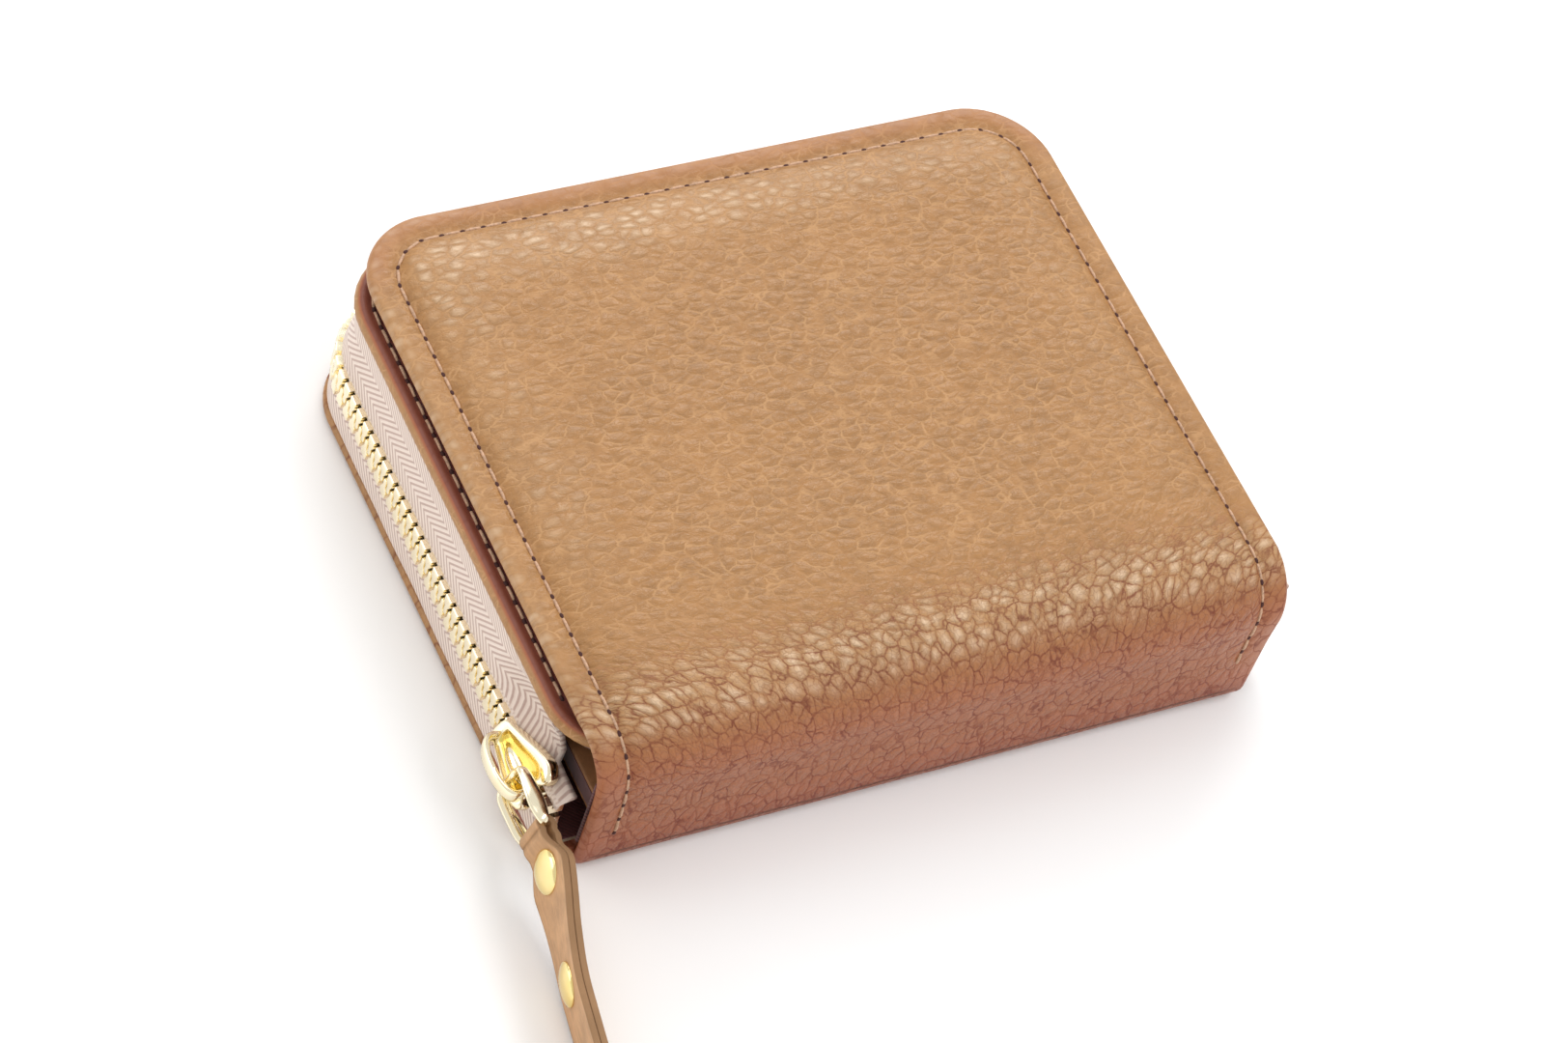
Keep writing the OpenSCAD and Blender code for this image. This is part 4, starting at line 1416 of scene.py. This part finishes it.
class WALLET_OT_shell(bpy.types.Operator):
    """Make the upper leather of the zipped compartment, its board, lining and slip pockets"""

    bl_idname = "wallet.shell"
    bl_label = "Upper compartment cover"

    def execute(self, context):
        outline = (SHELL_HIGH[0] - 0.6, ZIP_FRONT, SHELL_HIGH[1] - 0.2, CORNER, COVER_FRONT_R)
        # Painted shadow on the cover where the flap's edge hangs over it, from shade_from inward.
        cover = build_layer(
            "compartment_leather", "case_leather", outline, SHELL_LOW[2] - 0.8, SHELL_HIGH[2],
            rim=1.3, groove=0.3, groove_at=2.5, step=1.6, shade_from=0.2)
        place(cover, "shell", ["shell_cover"])
        pitch = context.scene.wallet_sizes.stitch_pitch / MM
        for piece in layer_stitches("compartment", outline, SHELL_HIGH[2] - 0.22, 2.5, pitch):
            place(piece, "shell")
        pockets = ("slip_panel", "slip_pocket_1", "slip_pocket_2")
        lay_panels("shell", "shell_board", "shell_lining", pockets, COVER_FRONT_R)
        return {"FINISHED"}


class WALLET_OT_base(bpy.types.Operator):
    """Make the bottom's board, lining, card panel and card pockets"""

    bl_idname = "wallet.base"
    bl_label = "Lower panels"

    def execute(self, context):
        pockets = ("card_panel", "card_pocket_1", "card_pocket_2", "card_pocket_3")
        lay_panels("lower", "bottom_board", "lower_lining", pockets, 0)
        return {"FINISHED"}


class WALLET_OT_zip(bpy.types.Operator):
    """Make the zip's tapes and teeth and finish its end stops"""

    bl_idname = "wallet.zip"
    bl_label = "Zip"

    def execute(self, context):
        lower = build_tape("zip_tape_low", (1.7, 4.0, 7.6), (0.45, 0.35, 0.0), 1.7)
        place(lower, "lower", ["lower_zip_tape"])
        heights = (11.6, 15.0, 18.0, SHELL_LOW[2] - 0.2)
        upper = build_tape("zip_tape_high", heights, (0.0, -0.5, -0.85, -0.75), 11.6)
        place(upper, "shell", ["upper_zip_tape"])
        place(build_teeth("zip_teeth_low", False), "lower", ["lower_zip_teeth"])
        place(build_teeth("zip_teeth_high", True), "shell", ["upper_zip_teeth"])
        for node in ("lower_end_stops", "upper_end_stops"):
            dress_node(node, "gold_metal", 0.15)
        return {"FINISHED"}


class WALLET_OT_slider(bpy.types.Operator):
    """Make the slider with its crown, and the link"""

    bl_idname = "wallet.slider"
    bl_label = "Slider and link"

    def execute(self, context):
        build_slider_face()
        build_slider_arch()
        build_link()
        dress_node("slider_inner_plate", "gold_metal", 0.2)
        dress_node("slider_divider", "gold_metal", 0.1)
        return {"FINISHED"}


class WALLET_OT_strap(bpy.types.Operator):
    """Make the folded pull strap and its rivets"""

    bl_idname = "wallet.strap"
    bl_label = "Pull strap"

    def execute(self, context):
        build_strap()
        build_rivets()
        dress_node("rivet_posts", "gold_metal")
        return {"FINISHED"}


class WALLET_OT_spine_inside(bpy.types.Operator):
    """Make the spine's board and lining and the coin pouch with its own zip"""

    bl_idname = "wallet.spine_inside"
    bl_label = "Spine inside and coin pouch"

    def execute(self, context):
        place(soft_block("spine_stiffener", "spine_board", "stiffener", 0.2), "spine", ["spine_board"])
        place(soft_block("spine_cloth", "spine_lining", "lining", 0.2), "spine", ["spine_lining"])
        for node in ("coin_pouch_lower_wall", "coin_pouch_upper_wall"):
            place(node_layer(node + "_layer", node, "pocket_leather", 6, 0), "spine", [node])
        dress_node("coin_pouch_gusset", "lining")
        place(node_layer("coin_tape", "coin_zip_tape", "lining", 1.2, 1.2), "spine", ["coin_zip_tape"])
        place(joined_pieces("coin_coil", coil_turns(), "gold_metal"), "spine", ["coin_zip_coil"])
        for node in ("coin_slider_body", "coin_slider_pull"):
            dress_node(node, "gold_metal", 0.2)
        return {"FINISHED"}


LAMPS = (  # (name, place, target, size, watts)
    ("key", (-0.25, 0.65, 1.35), (0, 0, 0), (1.0, 1.0), 3.5),
    ("roll", (0.62, -0.52, 1.25), (0, -0.03, 0.02), (1.3, 0.28), 7.0),
    ("back", (0.52, 0.95, 0.66), (0, 0.03, 0.02), (0.9, 0.5), 6.0),
    ("left", (-1.2, 0.62, 0.35), (-0.05, 0, 0.01), (0.7, 0.7), 3.0),
)


class WALLET_OT_stage(bpy.types.Operator):
    """Make the floor, the lights and the camera"""

    bl_idname = "wallet.stage"
    bl_label = "Stage"

    def execute(self, context):
        scene = context.scene
        scene.view_settings.view_transform = "Standard"
        finish = Finish("floor")
        dust = finish.noise(finish.add("ShaderNodeTexCoord", output="Object"), 3.0, 2.0)
        pale = finish.mix(dust * 0.3, (0.97, 0.97, 0.97), (0.95, 0.95, 0.95))
        bpy.ops.mesh.primitive_plane_add(size=6, location=(0, 0, -0.00015))
        floor = context.object
        floor.name = "floor"
        floor.data.materials.append(finish.surface(Base_Color=pale, Roughness=0.9))

        world = bpy.data.worlds.new("studio")
        scene.world = world
        world.use_nodes = True
        sky = world.node_tree.nodes["Background"].inputs
        sky["Color"].default_value = (1, 1, 1, 1)
        sky["Strength"].default_value = 0.78
        for lamp in LAMPS:
            self.light(*lamp)
        self.camera(scene)
        return {"FINISHED"}

    def light(self, name, location, target, size, power):
        """Adds a rectangular lamp that faces its target."""
        data = bpy.data.lights.new(name, "AREA")
        data.shape = "RECTANGLE"
        data.size, data.size_y = size
        data.energy = power
        lamp = bpy.data.objects.new(name, data)
        bpy.context.scene.collection.objects.link(lamp)
        lamp.location = location
        lamp.rotation_mode = "QUATERNION"
        lamp.rotation_quaternion = (Vector(target) - Vector(location)).to_track_quat("-Z", "Y")

    def camera(self, scene):
        """Adds the camera at the place that the view settings give."""
        view = scene.wallet_view
        flat = math.cos(view.elevation)
        ahead = Vector((
            math.sin(view.azimuth) * flat, math.cos(view.azimuth) * flat, -math.sin(view.elevation)))
        data = bpy.data.cameras.new("camera")
        data.lens = view.lens
        data.sensor_width = 36
        data.clip_start, data.clip_end = 0.01, 20
        camera = bpy.data.objects.new("camera", data)
        scene.collection.objects.link(camera)
        camera.location = Vector(view.target) - ahead * view.distance
        upright = ahead.to_track_quat("-Z", "Y").to_matrix()
        roll = Matrix.Rotation(view.roll, 3, "Z")
        camera.rotation_mode = "QUATERNION"
        camera.rotation_quaternion = (upright @ roll).to_quaternion()
        scene.camera = camera


class WALLET_PT_panel(bpy.types.Panel):
    """Lists the steps that build the wallet"""

    bl_idname = "WALLET_PT_panel"
    bl_label = "Zip around wallet"
    bl_space_type = "VIEW_3D"
    bl_region_type = "UI"
    bl_category = "Wallet"

    def draw(self, context):
        for group in (context.scene.wallet_sizes, context.scene.wallet_colours, context.scene.wallet_view):
            column = self.layout.column()
            for name in group.__annotations__:
                column.prop(group, name)
        for step in STEPS:
            self.layout.operator(step.bl_idname)


STEPS = (
    WALLET_OT_stage, WALLET_OT_skin, WALLET_OT_flap_inside, WALLET_OT_shell, WALLET_OT_base,
    WALLET_OT_spine_inside, WALLET_OT_zip, WALLET_OT_slider, WALLET_OT_strap,
)
GROUPS = {"wallet_sizes": WalletSizes, "wallet_colours": WalletColours, "wallet_view": WalletView}


def register():
    for group in GROUPS.values():
        bpy.utils.register_class(group)
    for name, group in GROUPS.items():
        setattr(bpy.types.Scene, name, bpy.props.PointerProperty(type=group))
    for step in (*STEPS, WALLET_PT_panel):
        bpy.utils.register_class(step)


def unregister():
    for step in (WALLET_PT_panel, *STEPS[::-1]):
        bpy.utils.unregister_class(step)
    for name, group in GROUPS.items():
        delattr(bpy.types.Scene, name)
        bpy.utils.unregister_class(group)


def main():
    register()
    for step in STEPS:
        group, name = step.bl_idname.split(".")
        getattr(getattr(bpy.ops, group), name)()


if __name__ == "__main__":
    main()
